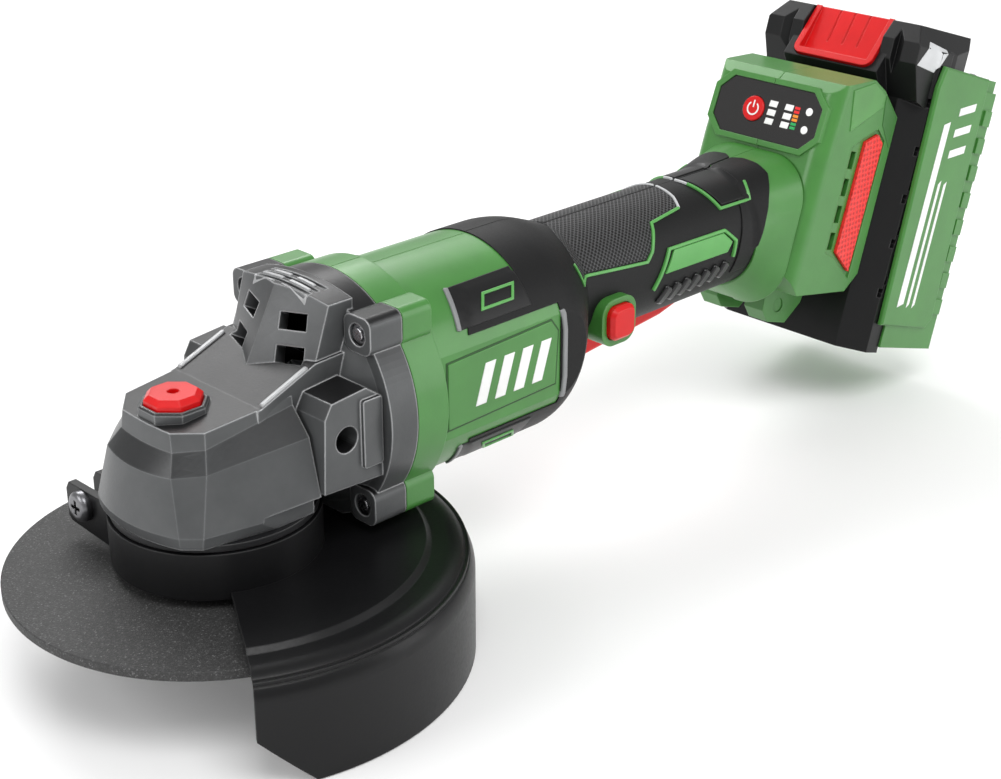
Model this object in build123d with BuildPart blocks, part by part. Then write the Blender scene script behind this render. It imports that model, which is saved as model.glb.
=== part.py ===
from build123d import *
import os
from math import cos, radians, sin, sqrt

# Cordless angle grinder, millimetres. +X runs from the head to the battery, +Z is up,
# and the origin is the centre of the spindle's free end, below the wheel.
os.makedirs("parts", exist_ok=True)

# ---- driving dimensions -------------------------------------------------------
gap = 0.3                    # space between pieces that do not touch
running = 0.05               # radial clearance of running fits

disc_r = 62.5
disc_t = 3.0
disc_bore_r = 11.12
disc_top = 13.0
thread_r = 7.0               # M14 spindle thread, major radius
thread_core_r = 6.4          # the thread's radius where the nut and flange sit on it

motor_z = 54.2               # height of the motor axis
gear_teeth = 36
pinion_teeth = 11
module = 1.0
face_ratio = 0.8             # inner end of the teeth, as a share of the cone distance

box_bottom = 16.0            # bearing box, from the guard collar's foot
head_bottom = 33.0           # underside of the cast head
ring_front = 34.0            # motor flange of the head
ring_rear = 46.0
ring_r = 37.6
screw_y = 25.8               # corner screws between the head and the motor housing
screw_z = 27.0
ear = 11.4

barrel_front = 46.3
barrel_ring_rear = 58.0
barrel_r = 34.6
barrel_flat = 31.8
barrel_rear = 112.0
handle_z = 62.0
handle_r = 21.0
handle_front = 135.0
handle_rear = 222.0
skin = 1.8                   # soft overmould
wall = 2.6                   # plastic wall

foot_tilt = 17.2             # lean of the battery foot
foot_x = 268.6               # lower end of the foot's mating face
foot_z = 13.6
foot_half = 28.0

guard_r = 75.4
ring_low = 19.2              # the motor flange is cut level here, clear of the guard
guard_t = 1.8
guard_low = -17.5
collar_r = 28.0
band_outer = 31.1
guard_from = 240.0           # the guard's first edge, degrees from +X
guard_sweep = 180.0

tilt_cos = cos(radians(foot_tilt))
tilt_sin = sin(radians(foot_tilt))


# ---- shared helpers -----------------------------------------------------------
def save(piece, label):
    """Name a finished piece and write it."""
    piece.part.label = label
    export_step(piece.part, f"parts/{label}.step")


def across_motor(x):
    """Plane square to the motor axis: local x is +Y, local y is +Z."""
    return Plane(origin=(x, 0, motor_z), x_dir=(0, 1, 0), z_dir=(1, 0, 0))


def across_handle(x):
    return Plane(origin=(x, 0, handle_z), x_dir=(0, 1, 0), z_dir=(1, 0, 0))


def in_foot(depth, height, y=0.0):
    """A point given along the leaning foot: depth behind its mating face, height above its lower end."""
    return (
        foot_x + depth * tilt_cos + height * tilt_sin,
        y,
        foot_z - depth * tilt_sin + height * tilt_cos,
    )


# Local x is depth, local y is height, and the normal is -Y.
foot_side = Plane(origin=in_foot(0, 0), x_dir=(tilt_cos, 0, -tilt_sin), z_dir=(0, -1, 0))


def foot_section(height):
    """Plane square to the foot's length: local x is depth, local y is +Y."""
    return Plane(origin=in_foot(0, height), x_dir=(tilt_cos, 0, -tilt_sin), z_dir=(tilt_sin, 0, tilt_cos))


def foot_face(depth):
    """Plane square to the foot's depth: local x is +Y, local y is height."""
    return Plane(origin=in_foot(depth, 0), x_dir=(0, 1, 0), z_dir=(tilt_cos, 0, -tilt_sin))


def turned(points, axis=Axis.Z, plane=Plane.XZ):
    """A solid of revolution from a closed outline of (radius, height) points."""
    with BuildPart() as solid:
        with BuildSketch(plane):
            with BuildLine():
                Polyline(*points, close=True)
            make_face()
        revolve(axis=axis)
    return solid


def turned_on_motor(points):
    """A solid of revolution about the motor axis from (x, radius) points."""
    with BuildPart() as solid:
        with BuildSketch(Plane(origin=(0, 0, motor_z), x_dir=(1, 0, 0), z_dir=(0, -1, 0))):
            with BuildLine():
                Polyline(*points, close=True)
            make_face()
        revolve(axis=Axis((0, 0, motor_z), (1, 0, 0)))
    return solid


def washer(plane, outer, inner, length):
    """A ring standing on a plane."""
    with BuildPart() as ring:
        with BuildSketch(plane):
            Circle(outer)
            if inner:
                Circle(inner, mode=Mode.SUBTRACT)
        extrude(amount=length)
    return ring


# ---- spindle group --------------------------------------------------------------
bearing_low = 22.0
bearing_h = 10.0
flange_top = 17.5
nut_low = 4.3
nut_top = disc_top - disc_t
bush_low = 54.6
bush_top = 59.6

spindle = turned(
    [(0, 0), (thread_r, 0), (thread_r, 4.0), (thread_core_r, 4.0), (thread_core_r, flange_top),
     (9, flange_top), (9, bearing_low - 0.1),
     (6, bearing_low - 0.1), (6, 46.5), (4, 46.5), (4, bush_top), (0, bush_top)]
)
save(spindle, "spindle")

inner_flange = turned(
    [(thread_core_r + running, nut_top + 0.4), (disc_bore_r - 0.06, nut_top + 0.4),
     (disc_bore_r - 0.06, disc_top),
     (20, disc_top), (20, disc_top + 1.6), (15.5, disc_top + 2.6), (15, flange_top - 0.1),
     (thread_core_r + running, flange_top - 0.1)]
)
save(inner_flange, "inner_flange")

with BuildPart() as cutting_disc:
    with BuildSketch(Plane.XY.offset(disc_top - disc_t)):
        Circle(disc_r)
        Circle(disc_bore_r, mode=Mode.SUBTRACT)
    extrude(amount=disc_t - 0.02)
    chamfer(cutting_disc.edges().filter_by(GeomType.CIRCLE).sort_by(SortBy.RADIUS)[-2:], 0.25)
save(cutting_disc, "cutting_disc")

spanner_pcd = 30.0
spanner_hole_r = 2.25
with BuildPart() as outer_flange_nut:
    with BuildSketch(Plane.XY.offset(nut_low)):
        Circle(15)
    extrude(amount=1.6)
    with BuildSketch(Plane.XY.offset(nut_low + 1.6)):
        Circle(20)
    extrude(amount=nut_top - nut_low - 1.62)
    with BuildSketch(Plane.XY.offset(nut_low)):
        Circle(thread_core_r + running)
    extrude(amount=nut_top - nut_low, mode=Mode.SUBTRACT)
    with BuildSketch(Plane.XY.offset(nut_low)):
        with PolarLocations(spanner_pcd / 2, 4):
            Circle(spanner_hole_r)
    extrude(amount=3.4, mode=Mode.SUBTRACT)
    chamfer(outer_flange_nut.edges().filter_by(GeomType.CIRCLE).sort_by(SortBy.RADIUS)[-2:], 0.6)
save(outer_flange_nut, "outer_flange_nut")


# ---- bevel gears ------------------------------------------------------------------
gear_r = module * gear_teeth / 2
pinion_r = module * pinion_teeth / 2
tooth_top = 0.7 * module
tooth_root = 1.0 * module
tooth_half = 0.66 * module
flank = 0.36                 # sideways lean of a tooth flank per unit of height


def bevel_tooth(pitch_r, mate_r):
    """One straight bevel tooth. The cone's apex is the origin and the wheel's axis is Z."""
    cone = sqrt(pitch_r**2 + mate_r**2)
    outward = (pitch_r / cone, 0, -mate_r / cone)
    with BuildPart() as tooth:
        for share in (1.0, face_ratio):
            place = Plane(origin=(share * pitch_r, 0, -share * mate_r), x_dir=(0, 1, 0), z_dir=outward)
            low = -(tooth_root + 0.25) * share
            high = tooth_top * share
            wide = tooth_half * share
            with BuildSketch(place):
                with BuildLine():
                    Polyline(
                        (-wide + flank * low, low), (wide - flank * low, low),
                        (wide - flank * high, high), (-wide + flank * high, high), close=True,
                    )
                make_face()
        loft()
    return tooth.part


def bevel_wheel(pitch_r, mate_r, teeth, blank, phase):
    """Blank and teeth in the wheel's own frame, apex at the origin."""
    tooth = bevel_tooth(pitch_r, mate_r)
    with BuildPart() as wheel:
        with BuildSketch(Plane.XZ):
            with BuildLine():
                Polyline(*blank, close=True)
            make_face()
        revolve(axis=Axis.Z)
        with PolarLocations(0, teeth, start_angle=phase):
            add(tooth)
    return wheel.part


def cone_point(pitch_r, mate_r, share, rise):
    """A point (radius, height) that stands off the pitch cone by rise."""
    cone = sqrt(pitch_r**2 + mate_r**2)
    return (share * (pitch_r + rise * mate_r / cone), -share * (mate_r - rise * pitch_r / cone))


rim_share = 1.012             # the blanks run a little past both ends of the teeth
core_share = face_ratio - 0.012
gear_outer = cone_point(gear_r, pinion_r, rim_share, -tooth_root)
gear_inner = cone_point(gear_r, pinion_r, core_share, -tooth_root)
web_top = 46.0 - motor_z
gear_blank = [
    (6.01, 34.0 - motor_z), (9, 34.0 - motor_z), (9, 38.0 - motor_z), (14.5, 39.5 - motor_z),
    gear_outer, gear_inner, (13.9, web_top), (9, web_top), (9, web_top + 0.4), (6.01, web_top + 0.4),
]
lock_r = 11.5
lock_holes = 12
lock_hole_r = 2.15

gear_form = bevel_wheel(gear_r, pinion_r, gear_teeth, gear_blank, 180 / gear_teeth)
gear_form = gear_form.moved(Location((0, 0, motor_z)))
with BuildPart() as bevel_gear:
    add(gear_form)
    with BuildSketch(Plane.XY.offset(46.0)):
        with PolarLocations(lock_r, lock_holes):
            Circle(lock_hole_r)
    extrude(amount=-4.0, mode=Mode.SUBTRACT)
save(bevel_gear, "bevel_gear")

shaft_r = 4.0
nose_r = 2.6
pinion_outer = cone_point(pinion_r, gear_r, rim_share, -tooth_root)
pinion_inner = cone_point(pinion_r, gear_r, core_share, -tooth_root)
pinion_blank = [
    (0, pinion_inner[1]), pinion_inner, pinion_outer, (5.0, pinion_outer[1] - 1.5), (5.0, -23.5),
    (nose_r + 0.01, -23.5), (nose_r + 0.01, -16.5), (0, -16.5),
]
pinion_form = bevel_wheel(pinion_r, gear_r, pinion_teeth, pinion_blank, 0)
pinion_seat = Plane(origin=(0, 0, motor_z), x_dir=(0, 0, -1), z_dir=(-1, 0, 0))
with BuildPart() as bevel_pinion:
    add(pinion_form.moved(pinion_seat.location))
save(bevel_pinion, "bevel_pinion")


# ---- bearings -----------------------------------------------------------------------
def ball_bearing(plane, name, bore_r, outer_r, width, balls):
    """Outer race in one piece, inner race and balls in another."""
    middle = (bore_r + outer_r) / 2
    ball_r = (outer_r - bore_r) * 0.27
    groove_r = ball_r + running
    third = (outer_r - bore_r) * 0.3
    ball_ring = plane.offset(width / 2)
    path_axis = Axis(plane.origin, plane.z_dir)

    def race(low, high):
        with BuildPart() as ring:
            with BuildSketch(plane):
                Circle(high)
                Circle(low, mode=Mode.SUBTRACT)
            extrude(amount=width)
            with BuildSketch(Plane(origin=ball_ring.origin, x_dir=plane.x_dir, z_dir=plane.y_dir)):
                with Locations((middle, 0)):
                    Circle(groove_r)
            revolve(axis=path_axis, mode=Mode.SUBTRACT)
        return ring

    save(race(outer_r - third, outer_r), f"{name}_outer_race")
    with BuildPart() as inner:
        add(race(bore_r, bore_r + third).part)
        with Locations(ball_ring):
            with PolarLocations(middle, balls):
                Sphere(ball_r)
    save(inner, f"{name}_inner_race")


ball_bearing(Plane.XY.offset(bearing_low), "lower_bearing", 6.01, 16.0, bearing_h, 8)
front_bearing_x = 25.0
front_bearing_w = 8.0
rear_bearing_x = 117.0
rear_bearing_w = 6.0
ball_bearing(across_motor(front_bearing_x), "front_bearing", shaft_r + 0.01, 13.0, front_bearing_w, 8)
ball_bearing(across_motor(rear_bearing_x), "rear_bearing", 3.01, 9.5, rear_bearing_w, 7)

top_bush = washer(Plane.XY.offset(bush_low), 6.0, 4.0 + running, 5.0)
save(top_bush, "spindle_top_bush")

# ---- motor ------------------------------------------------------------------------------
fan_x = 50.0
stator_x = 66.0
stator_len = 34.0
stator_r = 27.0
rotor_r = 13.4

motor_shaft = turned_on_motor(
    [(16.6, 0), (16.6, nose_r), (23.6, nose_r), (23.6, shaft_r), (rear_bearing_x - 0.1, shaft_r),
     (rear_bearing_x - 0.1, 3), (rear_bearing_x + rear_bearing_w, 3), (rear_bearing_x + rear_bearing_w, 0)]
)
save(motor_shaft, "motor_shaft")

with BuildPart() as rotor_magnet:
    with BuildSketch(across_motor(stator_x)):
        Circle(rotor_r)
        Circle(shaft_r + 0.01, mode=Mode.SUBTRACT)
        with PolarLocations(rotor_r, 4):
            Rectangle(1.2, 0.8, mode=Mode.SUBTRACT)
    extrude(amount=stator_len)
save(rotor_magnet, "rotor_magnet")

with BuildPart() as cooling_fan:
    with BuildSketch(across_motor(fan_x)):
        Circle(26)
        Circle(shaft_r + 0.01, mode=Mode.SUBTRACT)
    extrude(amount=1.6)
    with BuildSketch(across_motor(fan_x + 1.6)):
        Circle(8)
        Circle(shaft_r + 0.01, mode=Mode.SUBTRACT)
    extrude(amount=8)
    with BuildSketch(across_motor(fan_x + 1.6)):
        with PolarLocations(17, 14):
            Rectangle(16, 1.4, rotation=18)
    extrude(amount=6)
save(cooling_fan, "cooling_fan")

slots = 6
with BuildPart() as stator_core:
    with BuildSketch(across_motor(stator_x)):
        Circle(stator_r)
        Circle(stator_r - 4.5, mode=Mode.SUBTRACT)
        with PolarLocations((stator_r - 4 + rotor_r + 0.6) / 2, slots):
            Rectangle(stator_r - 4 - rotor_r, 5.0)
        with PolarLocations(rotor_r + 1.9, slots):
            Rectangle(2.2, 11.0)
        Circle(rotor_r + 0.6, mode=Mode.SUBTRACT)
    extrude(amount=stator_len)
save(stator_core, "stator_core")

coil_gap = 0.25
with BuildPart() as stator_windings:
    with BuildSketch(across_motor(stator_x - 4)):
        with PolarLocations(19.2, slots):
            RectangleRounded(5.2, 9.6, 1.5)
    extrude(amount=stator_len + 8)
    with BuildSketch(across_motor(stator_x - coil_gap)):
        with PolarLocations(19.0, slots):
            Rectangle(12, 5.0 + 2 * coil_gap)
    extrude(amount=stator_len + 2 * coil_gap, mode=Mode.SUBTRACT)
save(stator_windings, "stator_windings")

motor_baffle = turned_on_motor(
    [(ring_rear + 0.6, 12), (ring_rear + 0.6, 30.5), (ring_rear + 2.2, 30.5), (ring_rear + 2.2, 12)]
)
save(motor_baffle, "motor_baffle")


# ---- cast head -----------------------------------------------------------------------
def head_plane(height, slope):
    """Plane through the spindle axis at a height, rising to the rear by slope."""
    return Plane(origin=(0, 0, height), x_dir=(1, 0, slope), z_dir=(-slope, 0, 1))


def head_outline(plane, nose_x, front, corner, rear):
    """Plan outline of the head: bowed nose, cut corners and flared sides."""
    (fx, fy), (cx, cy), (rx, ry) = front, corner, rear
    with BuildSketch(plane) as outline:
        with BuildLine():
            ThreePointArc((fx, fy), (nose_x, 0), (fx, -fy))
            Polyline((fx, -fy), (cx, -cy), (rx, -ry), (rx, ry), (cx, cy), (fx, fy))
        make_face()
    return outline.sketch


head_rear_x = 14.0
box_screw_r = 23.0           # pitch radius of the bearing box screws
head_levels = [
    (head_plane(head_bottom, 0), -30.0, (-26.2, 19.6), (-21.8, 24.0), (head_rear_x, 30.6)),
    (head_plane(36.5, 0), -30.9, (-26.5, 19.6), (-21.6, 24.4), (head_rear_x, 32.4)),
    (head_plane(55.2, 0.1), -27.6, (-24.8, 15.2), (-17.5, 21.8), (head_rear_x, 27.6)),
    (head_plane(62.1, 0.175), -22.9, (-21.9, 12.0), (-15.4, 18.9), (head_rear_x, 21.0)),
    (head_plane(65.75, 0.088), -21.8, (-21.3, 11.2), (-15.0, 18.7), (head_rear_x, 20.4)),
]
block_y = 33.0
block_outline = [(14.3, 40.0), (15.4, 62.6), (18.0, 67.0), (30.6, 68.2), (36.0, 64.0), (36.0, 39.0)]
ramp_outline = [(2.0, 60.0), (2.0, 65.9), (3.1, 66.0), (23.0, 73.9), (38.0, 74.6), (38.0, 60.0)]
side_hole_x = 23.0
side_hole_z = 54.5
side_hole_r = 4.0
side_hole_len = 14.0
tower_low = [(11.6, 0), (21.6, -18.8), (38, -18.8), (38, 18.8), (21.6, 18.8)]
tower_high = [(26.2, 0), (30.3, -19.6), (38, -19.6), (38, 19.6), (30.3, 19.6)]
tower_low_z = 66.0
tower_high_z = 93.0
duct_low = [(22.5, 0), (27.5, -15.5), (40, -15.5), (40, 15.5), (27.5, 15.5)]
duct_high = [(29.5, 0), (31.5, -16.0), (40, -16.0), (40, 16.0), (31.5, 16.0)]
roof_r = 80.0
roof_z = 92.0
lock_x = -lock_r
lock_pin_r = 1.9
pocket_z = 62.2
bezel_across = 18.8
cap_across = 15.8
cap_well = 60.9
spring_well_z = 57.0
gear_room_r = 19.3
cone_front_r = 12.0          # cone behind the gear head, hidden under the ramp at its front
cone_x = 29.0
cone_mid_r = 19.0
vent_w = 9.0
vent_h = 5.0
vent_clear = 5.0             # the slots are cut from this far in front of the face
ring_room_r = 31.0


def octagon(across, mode=Mode.ADD):
    """Regular octagon with flats square to X and Y."""
    return RegularPolygon(across / 2, 8, major_radius=False, rotation=22.5, mode=mode)


def corner_spots():
    return [(sy * screw_y, sz * screw_z) for sy in (-1, 1) for sz in (-1, 1)]


def vent_plane(side):
    """Plane on one slanted front face of the vent tower."""
    ridge_foot = Vector(11.6, 0, tower_low_z)
    ridge_top = Vector(26.2, 0, tower_high_z)
    foot = Vector(21.6, side * 18.8, tower_low_z)
    across = (foot - ridge_foot).normalized()
    normal = across.cross(ridge_top - ridge_foot).normalized()
    if normal.X > 0:
        normal = normal * -1
    middle = ridge_foot + (foot - ridge_foot) * 0.5 + (ridge_top - ridge_foot) * 0.46
    return Plane(origin=middle, x_dir=across, z_dir=normal)


with BuildPart() as tower:
    with BuildSketch(Plane.XY.offset(tower_low_z)):
        with BuildLine():
            Polyline(*tower_low, close=True)
        make_face()
    with BuildSketch(Plane.XY.offset(tower_high_z)):
        with BuildLine():
            Polyline(*tower_high, close=True)
        make_face()
    loft(ruled=True)
    with BuildSketch(Plane.YZ.offset(-50)):
        with Locations((0, roof_z - roof_r)):
            Circle(roof_r)
    extrude(amount=120, mode=Mode.INTERSECT)

with BuildPart() as duct:
    with BuildSketch(Plane.XY.offset(tower_low_z + 2)):
        with BuildLine():
            Polyline(*duct_low, close=True)
        make_face()
    with BuildSketch(Plane.XY.offset(roof_z - 6)):
        with BuildLine():
            Polyline(*duct_high, close=True)
        make_face()
    loft(ruled=True)

with BuildPart() as gear_housing:
    for low, high in zip(head_levels, head_levels[1:]):
        loft([head_outline(*low), head_outline(*high)], ruled=True)
    with BuildSketch(Plane.XZ):
        with BuildLine():
            Polyline(*ramp_outline, close=True)
        make_face()
    extrude(amount=20.3, both=True)
    with BuildSketch(Plane.XZ):
        with BuildLine():
            Polyline(*block_outline, close=True)
        make_face()
    extrude(amount=block_y, both=True)
    add(tower.part)
    with BuildSketch(across_motor(8)):
        Circle(cone_front_r)
    with BuildSketch(across_motor(cone_x)):
        Circle(cone_mid_r)
    loft()
    with BuildSketch(across_motor(cone_x)):
        Circle(cone_mid_r)
    with BuildSketch(across_motor(37)):
        Circle(35.5)
    loft()
    with BuildSketch(across_motor(ring_front + 2)):
        Circle(ring_r)
    extrude(amount=ring_rear - ring_front - 2)
    with BuildSketch(across_motor(ring_front)):
        with Locations(*corner_spots()):
            RectangleRounded(ear, ear, 3)
    extrude(amount=ring_rear - ring_front)
    # raised strips on the side blocks
    for side in (-1, 1):
        with BuildSketch(Plane(origin=(31.8, side * block_y, 54.5), x_dir=(1, 0, 0), z_dir=(0, side, 0))):
            RectangleRounded(7.0, 21, 0.8)
        extrude(amount=1.4)
    # underside trimmed level, with a step at the rear of each side
    with BuildSketch(Plane.XY.offset(head_bottom)):
        with Locations((ring_front - 100, 0)):
            Rectangle(200, 120)
    extrude(amount=-30, mode=Mode.SUBTRACT)
    with BuildSketch(Plane.XY.offset(ring_low)):
        Rectangle(200, 120)
    extrude(amount=-30, mode=Mode.SUBTRACT)
    for side in (-1, 1):
        with BuildSketch(Plane(origin=(0, side * 28.2, head_bottom), x_dir=(1, 0, 0), z_dir=(0, side, 0))):
            with BuildLine():
                Polyline((-5.5, -1), (-3.6, 4.6), (16, 6.4), (16, -1), close=True)
            make_face()
        extrude(amount=10, mode=Mode.SUBTRACT)
    # room for the bevel gear, pinion, bearing, top bush and fan air
    with BuildSketch(Plane.XY.offset(head_bottom)):
        Circle(gear_room_r)
    extrude(amount=51.5 - head_bottom, mode=Mode.SUBTRACT)
    with BuildSketch(Plane.XY.offset(51.5)):
        Circle(8.5)
    extrude(amount=bush_low - 51.5, mode=Mode.SUBTRACT)
    with BuildSketch(Plane.XY.offset(bush_low)):
        Circle(6.0)
    extrude(amount=bush_top - bush_low + 0.3, mode=Mode.SUBTRACT)
    with BuildSketch(across_motor(9)):
        Circle(8.5)
    extrude(amount=front_bearing_x - 9, mode=Mode.SUBTRACT)
    with BuildSketch(across_motor(front_bearing_x)):
        Circle(13.0)
    extrude(amount=12, mode=Mode.SUBTRACT)
    with BuildSketch(across_motor(front_bearing_x + front_bearing_w + 2)):
        Circle(22)
    with BuildSketch(across_motor(ring_rear)):
        Circle(ring_room_r)
    loft(mode=Mode.SUBTRACT)
    add(duct.part, mode=Mode.SUBTRACT)
    with BuildSketch(Plane.XY.offset(tower_low_z + 4)):
        with Locations((40, 0)):
            Rectangle(13, 31)
    extrude(amount=14, mode=Mode.SUBTRACT)
    # exhaust slots, two on each front face of the tower, and three grooves in its roof
    for side in (-1, 1):
        with BuildSketch(vent_plane(side).offset(vent_clear)):
            with Locations((0.6, -4.8), (0.6, 4.8)):
                Rectangle(vent_w, vent_h)
        extrude(amount=-12 - vent_clear, mode=Mode.SUBTRACT)
    with BuildSketch(Plane.XY.offset(roof_z - 1.6)):
        with Locations((28.6, 0), (31.6, 0), (34.6, 0)):
            Rectangle(1.5, 24)
    extrude(amount=5, mode=Mode.SUBTRACT)
    # spindle lock: bezel pocket, button well, spring well and pin bore
    with BuildSketch(Plane.XY.offset(pocket_z)):
        with Locations((lock_x, 0)):
            octagon(bezel_across + 0.1)
    extrude(amount=12, mode=Mode.SUBTRACT)
    with BuildSketch(Plane.XY.offset(cap_well)):
        with Locations((lock_x, 0)):
            octagon(cap_across + 0.8)
    extrude(amount=4, mode=Mode.SUBTRACT)
    with BuildSketch(Plane.XY.offset(spring_well_z)):
        with Locations((lock_x, 0)):
            Circle(4.6)
    extrude(amount=6, mode=Mode.SUBTRACT)
    with BuildSketch(Plane.XY.offset(50)):
        with Locations((lock_x, 0)):
            Circle(lock_pin_r + running)
    extrude(amount=10, mode=Mode.SUBTRACT)
    # side handle threads, corner screw holes and bearing box screw holes
    for side in (-1, 1):
        hole_mouth = Plane(
            origin=(side_hole_x, side * block_y, side_hole_z), x_dir=(1, 0, 0), z_dir=(0, side, 0)
        )
        with BuildSketch(hole_mouth):
            Circle(side_hole_r)
        extrude(amount=-side_hole_len, mode=Mode.SUBTRACT)
    with BuildSketch(across_motor(ring_front - 10)):
        with Locations(*corner_spots()):
            Circle(3.4)
    extrude(amount=14, mode=Mode.SUBTRACT)
    with BuildSketch(across_motor(ring_front)):
        with Locations(*corner_spots()):
            Circle(2.1)
    extrude(amount=20, mode=Mode.SUBTRACT)
    with BuildSketch(Plane.XY.offset(head_bottom)):
        with PolarLocations(box_screw_r, 4, start_angle=45):
            Circle(2.0)
    extrude(amount=12.2, mode=Mode.SUBTRACT)
save(gear_housing, "gear_housing")

with BuildPart() as gear_housing_screws:
    with BuildSketch(across_motor(ring_front)):
        with Locations(*corner_spots()):
            Circle(2.0)
    extrude(amount=21)
    with BuildSketch(across_motor(ring_front + 4)):
        with Locations(*corner_spots()):
            Circle(3.3)
    extrude(amount=-2.8)
save(gear_housing_screws, "gear_housing_screws")

bearing_box = turned(
    [(17.0, box_bottom), (collar_r, box_bottom), (collar_r, 31.0), (30.2, 31.0), (30.2, head_bottom),
     (16.02, head_bottom), (16.02, bearing_low - 0.1), (14.5, bearing_low - 0.1), (14.5, 19.0), (17.0, 19.0)]
)
with BuildPart() as bearing_box_cut:
    add(bearing_box.part)
    with BuildSketch(Plane.XY.offset(box_bottom)):
        with PolarLocations(box_screw_r, 4, start_angle=45):
            Circle(2.1)
    extrude(amount=20, mode=Mode.SUBTRACT)
    with BuildSketch(Plane.XY.offset(box_bottom)):
        with PolarLocations(box_screw_r, 4, start_angle=45):
            Circle(3.9)
    extrude(amount=8, mode=Mode.SUBTRACT)
save(bearing_box_cut, "bearing_box")

with BuildPart() as bearing_box_screws:
    with BuildSketch(Plane.XY.offset(box_bottom + 5)):
        with PolarLocations(box_screw_r, 4, start_angle=45):
            Circle(3.6)
    extrude(amount=3)
    with BuildSketch(Plane.XY.offset(box_bottom + 8)):
        with PolarLocations(box_screw_r, 4, start_angle=45):
            Circle(1.9)
    extrude(amount=20)
    with BuildSketch(Plane.XY.offset(box_bottom + 5)):
        with PolarLocations(box_screw_r, 4, start_angle=45):
            RegularPolygon(1.5, 6)
    extrude(amount=1.6, mode=Mode.SUBTRACT)
save(bearing_box_screws, "bearing_box_screws")

# ---- spindle lock ---------------------------------------------------------------------
cap_low = 64.4
cap_top = 70.0
with BuildPart() as lock_bezel:
    with BuildSketch(Plane.XY.offset(pocket_z)):
        with Locations((lock_x, 0)):
            octagon(bezel_across)
            octagon(cap_across + 0.8, Mode.SUBTRACT)
    extrude(amount=67.2 - pocket_z)
    chamfer(lock_bezel.faces().sort_by(Axis.Z)[-1].outer_wire().edges(), 0.7)
save(lock_bezel, "lock_bezel")

with BuildPart() as lock_button:
    with BuildSketch(Plane.XY.offset(cap_low)):
        with Locations((lock_x, 0)):
            octagon(cap_across)
    extrude(amount=cap_top - cap_low)
    chamfer(lock_button.faces().sort_by(Axis.Z)[-1].edges(), 1.5)
    with BuildSketch(Plane.XY.offset(cap_top)):
        with Locations((lock_x, 0)):
            Circle(1.7)
    extrude(amount=-2.0, mode=Mode.SUBTRACT)
    with BuildSketch(Plane.XY.offset(cap_low)):
        with Locations((lock_x, 0)):
            Circle(5.0)
            Circle(2.6, mode=Mode.SUBTRACT)
    extrude(amount=2.4, mode=Mode.SUBTRACT)
save(lock_button, "lock_button")

pin_low = 46.8
with BuildPart() as lock_pin:
    with BuildSketch(Plane.XY.offset(pin_low)):
        with Locations((lock_x, 0)):
            Circle(lock_pin_r)
    extrude(amount=cap_low - pin_low)
    with BuildSketch(Plane.XY.offset(50.0)):
        with Locations((lock_x, 0)):
            Circle(2.25)
    extrude(amount=0.9)
save(lock_pin, "lock_pin")


def coil_spring(plane, radius, wire_r, length, turns):
    """Compression spring on a plane's axis, with closed ends."""
    with BuildPart() as coil:
        with BuildLine() as path:
            Helix(pitch=(length - 2 * wire_r) / turns, height=length - 2 * wire_r, radius=radius)
        with BuildSketch(Plane(origin=path.line @ 0, z_dir=path.line % 0)):
            Circle(wire_r)
        sweep()
    with BuildPart() as placed:
        add(coil.part.moved((plane.offset(wire_r)).location))
    return placed


spring_wire = 0.45
lock_spring = coil_spring(
    Plane(origin=(lock_x, 0, spring_well_z)), 3.5, spring_wire, cap_low + 2.4 - spring_well_z, 5
)
save(lock_spring, "lock_spring")

# ---- wheel guard -----------------------------------------------------------------------
band_low = 16.3
band_high = 30.6
ear_gap_from = 118.0         # the band is split between its two clamp ears
ear_gap_to = 138.0
clamp_y = 34.6
clamp_z = 25.5
ear_t = 2.6
front_ear_x = -22.6
rear_ear_x = -13.2


def radial_plane(angle):
    """Upright plane through the spindle axis: local x is outward, local y is +Z."""
    a = radians(angle)
    return Plane(origin=(0, 0, 0), x_dir=(cos(a), sin(a), 0), z_dir=(sin(a), -cos(a), 0))


with BuildPart() as guard_clamp_band:
    with BuildSketch(radial_plane(ear_gap_to)):
        with BuildLine():
            Polyline(
                (collar_r + running, band_low), (band_outer, band_low), (band_outer, band_high),
                (collar_r + running, band_high), close=True,
            )
        make_face()
    revolve(axis=Axis.Z, revolution_arc=360 - ear_gap_to + ear_gap_from)
    for ear_x, inner_y in ((front_ear_x, 19.0), (rear_ear_x, 26.4)):
        with BuildSketch(Plane.YZ.offset(ear_x)):
            with BuildLine():
                Polyline(
                    (inner_y, band_low), (42.0, band_low + 1.5), (43.5, band_low + 3.0),
                    (43.5, band_high - 2.5), (42.0, band_high), (inner_y, band_high), close=True,
                )
            make_face()
            with Locations((clamp_y, clamp_z)):
                Circle(2.7, mode=Mode.SUBTRACT)
        extrude(amount=ear_t)
    with BuildSketch(Plane.XY.offset(band_low - 1)):
        Circle(collar_r + running)
    extrude(amount=band_high - band_low + 2, mode=Mode.SUBTRACT)
save(guard_clamp_band, "guard_clamp_band")

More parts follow.
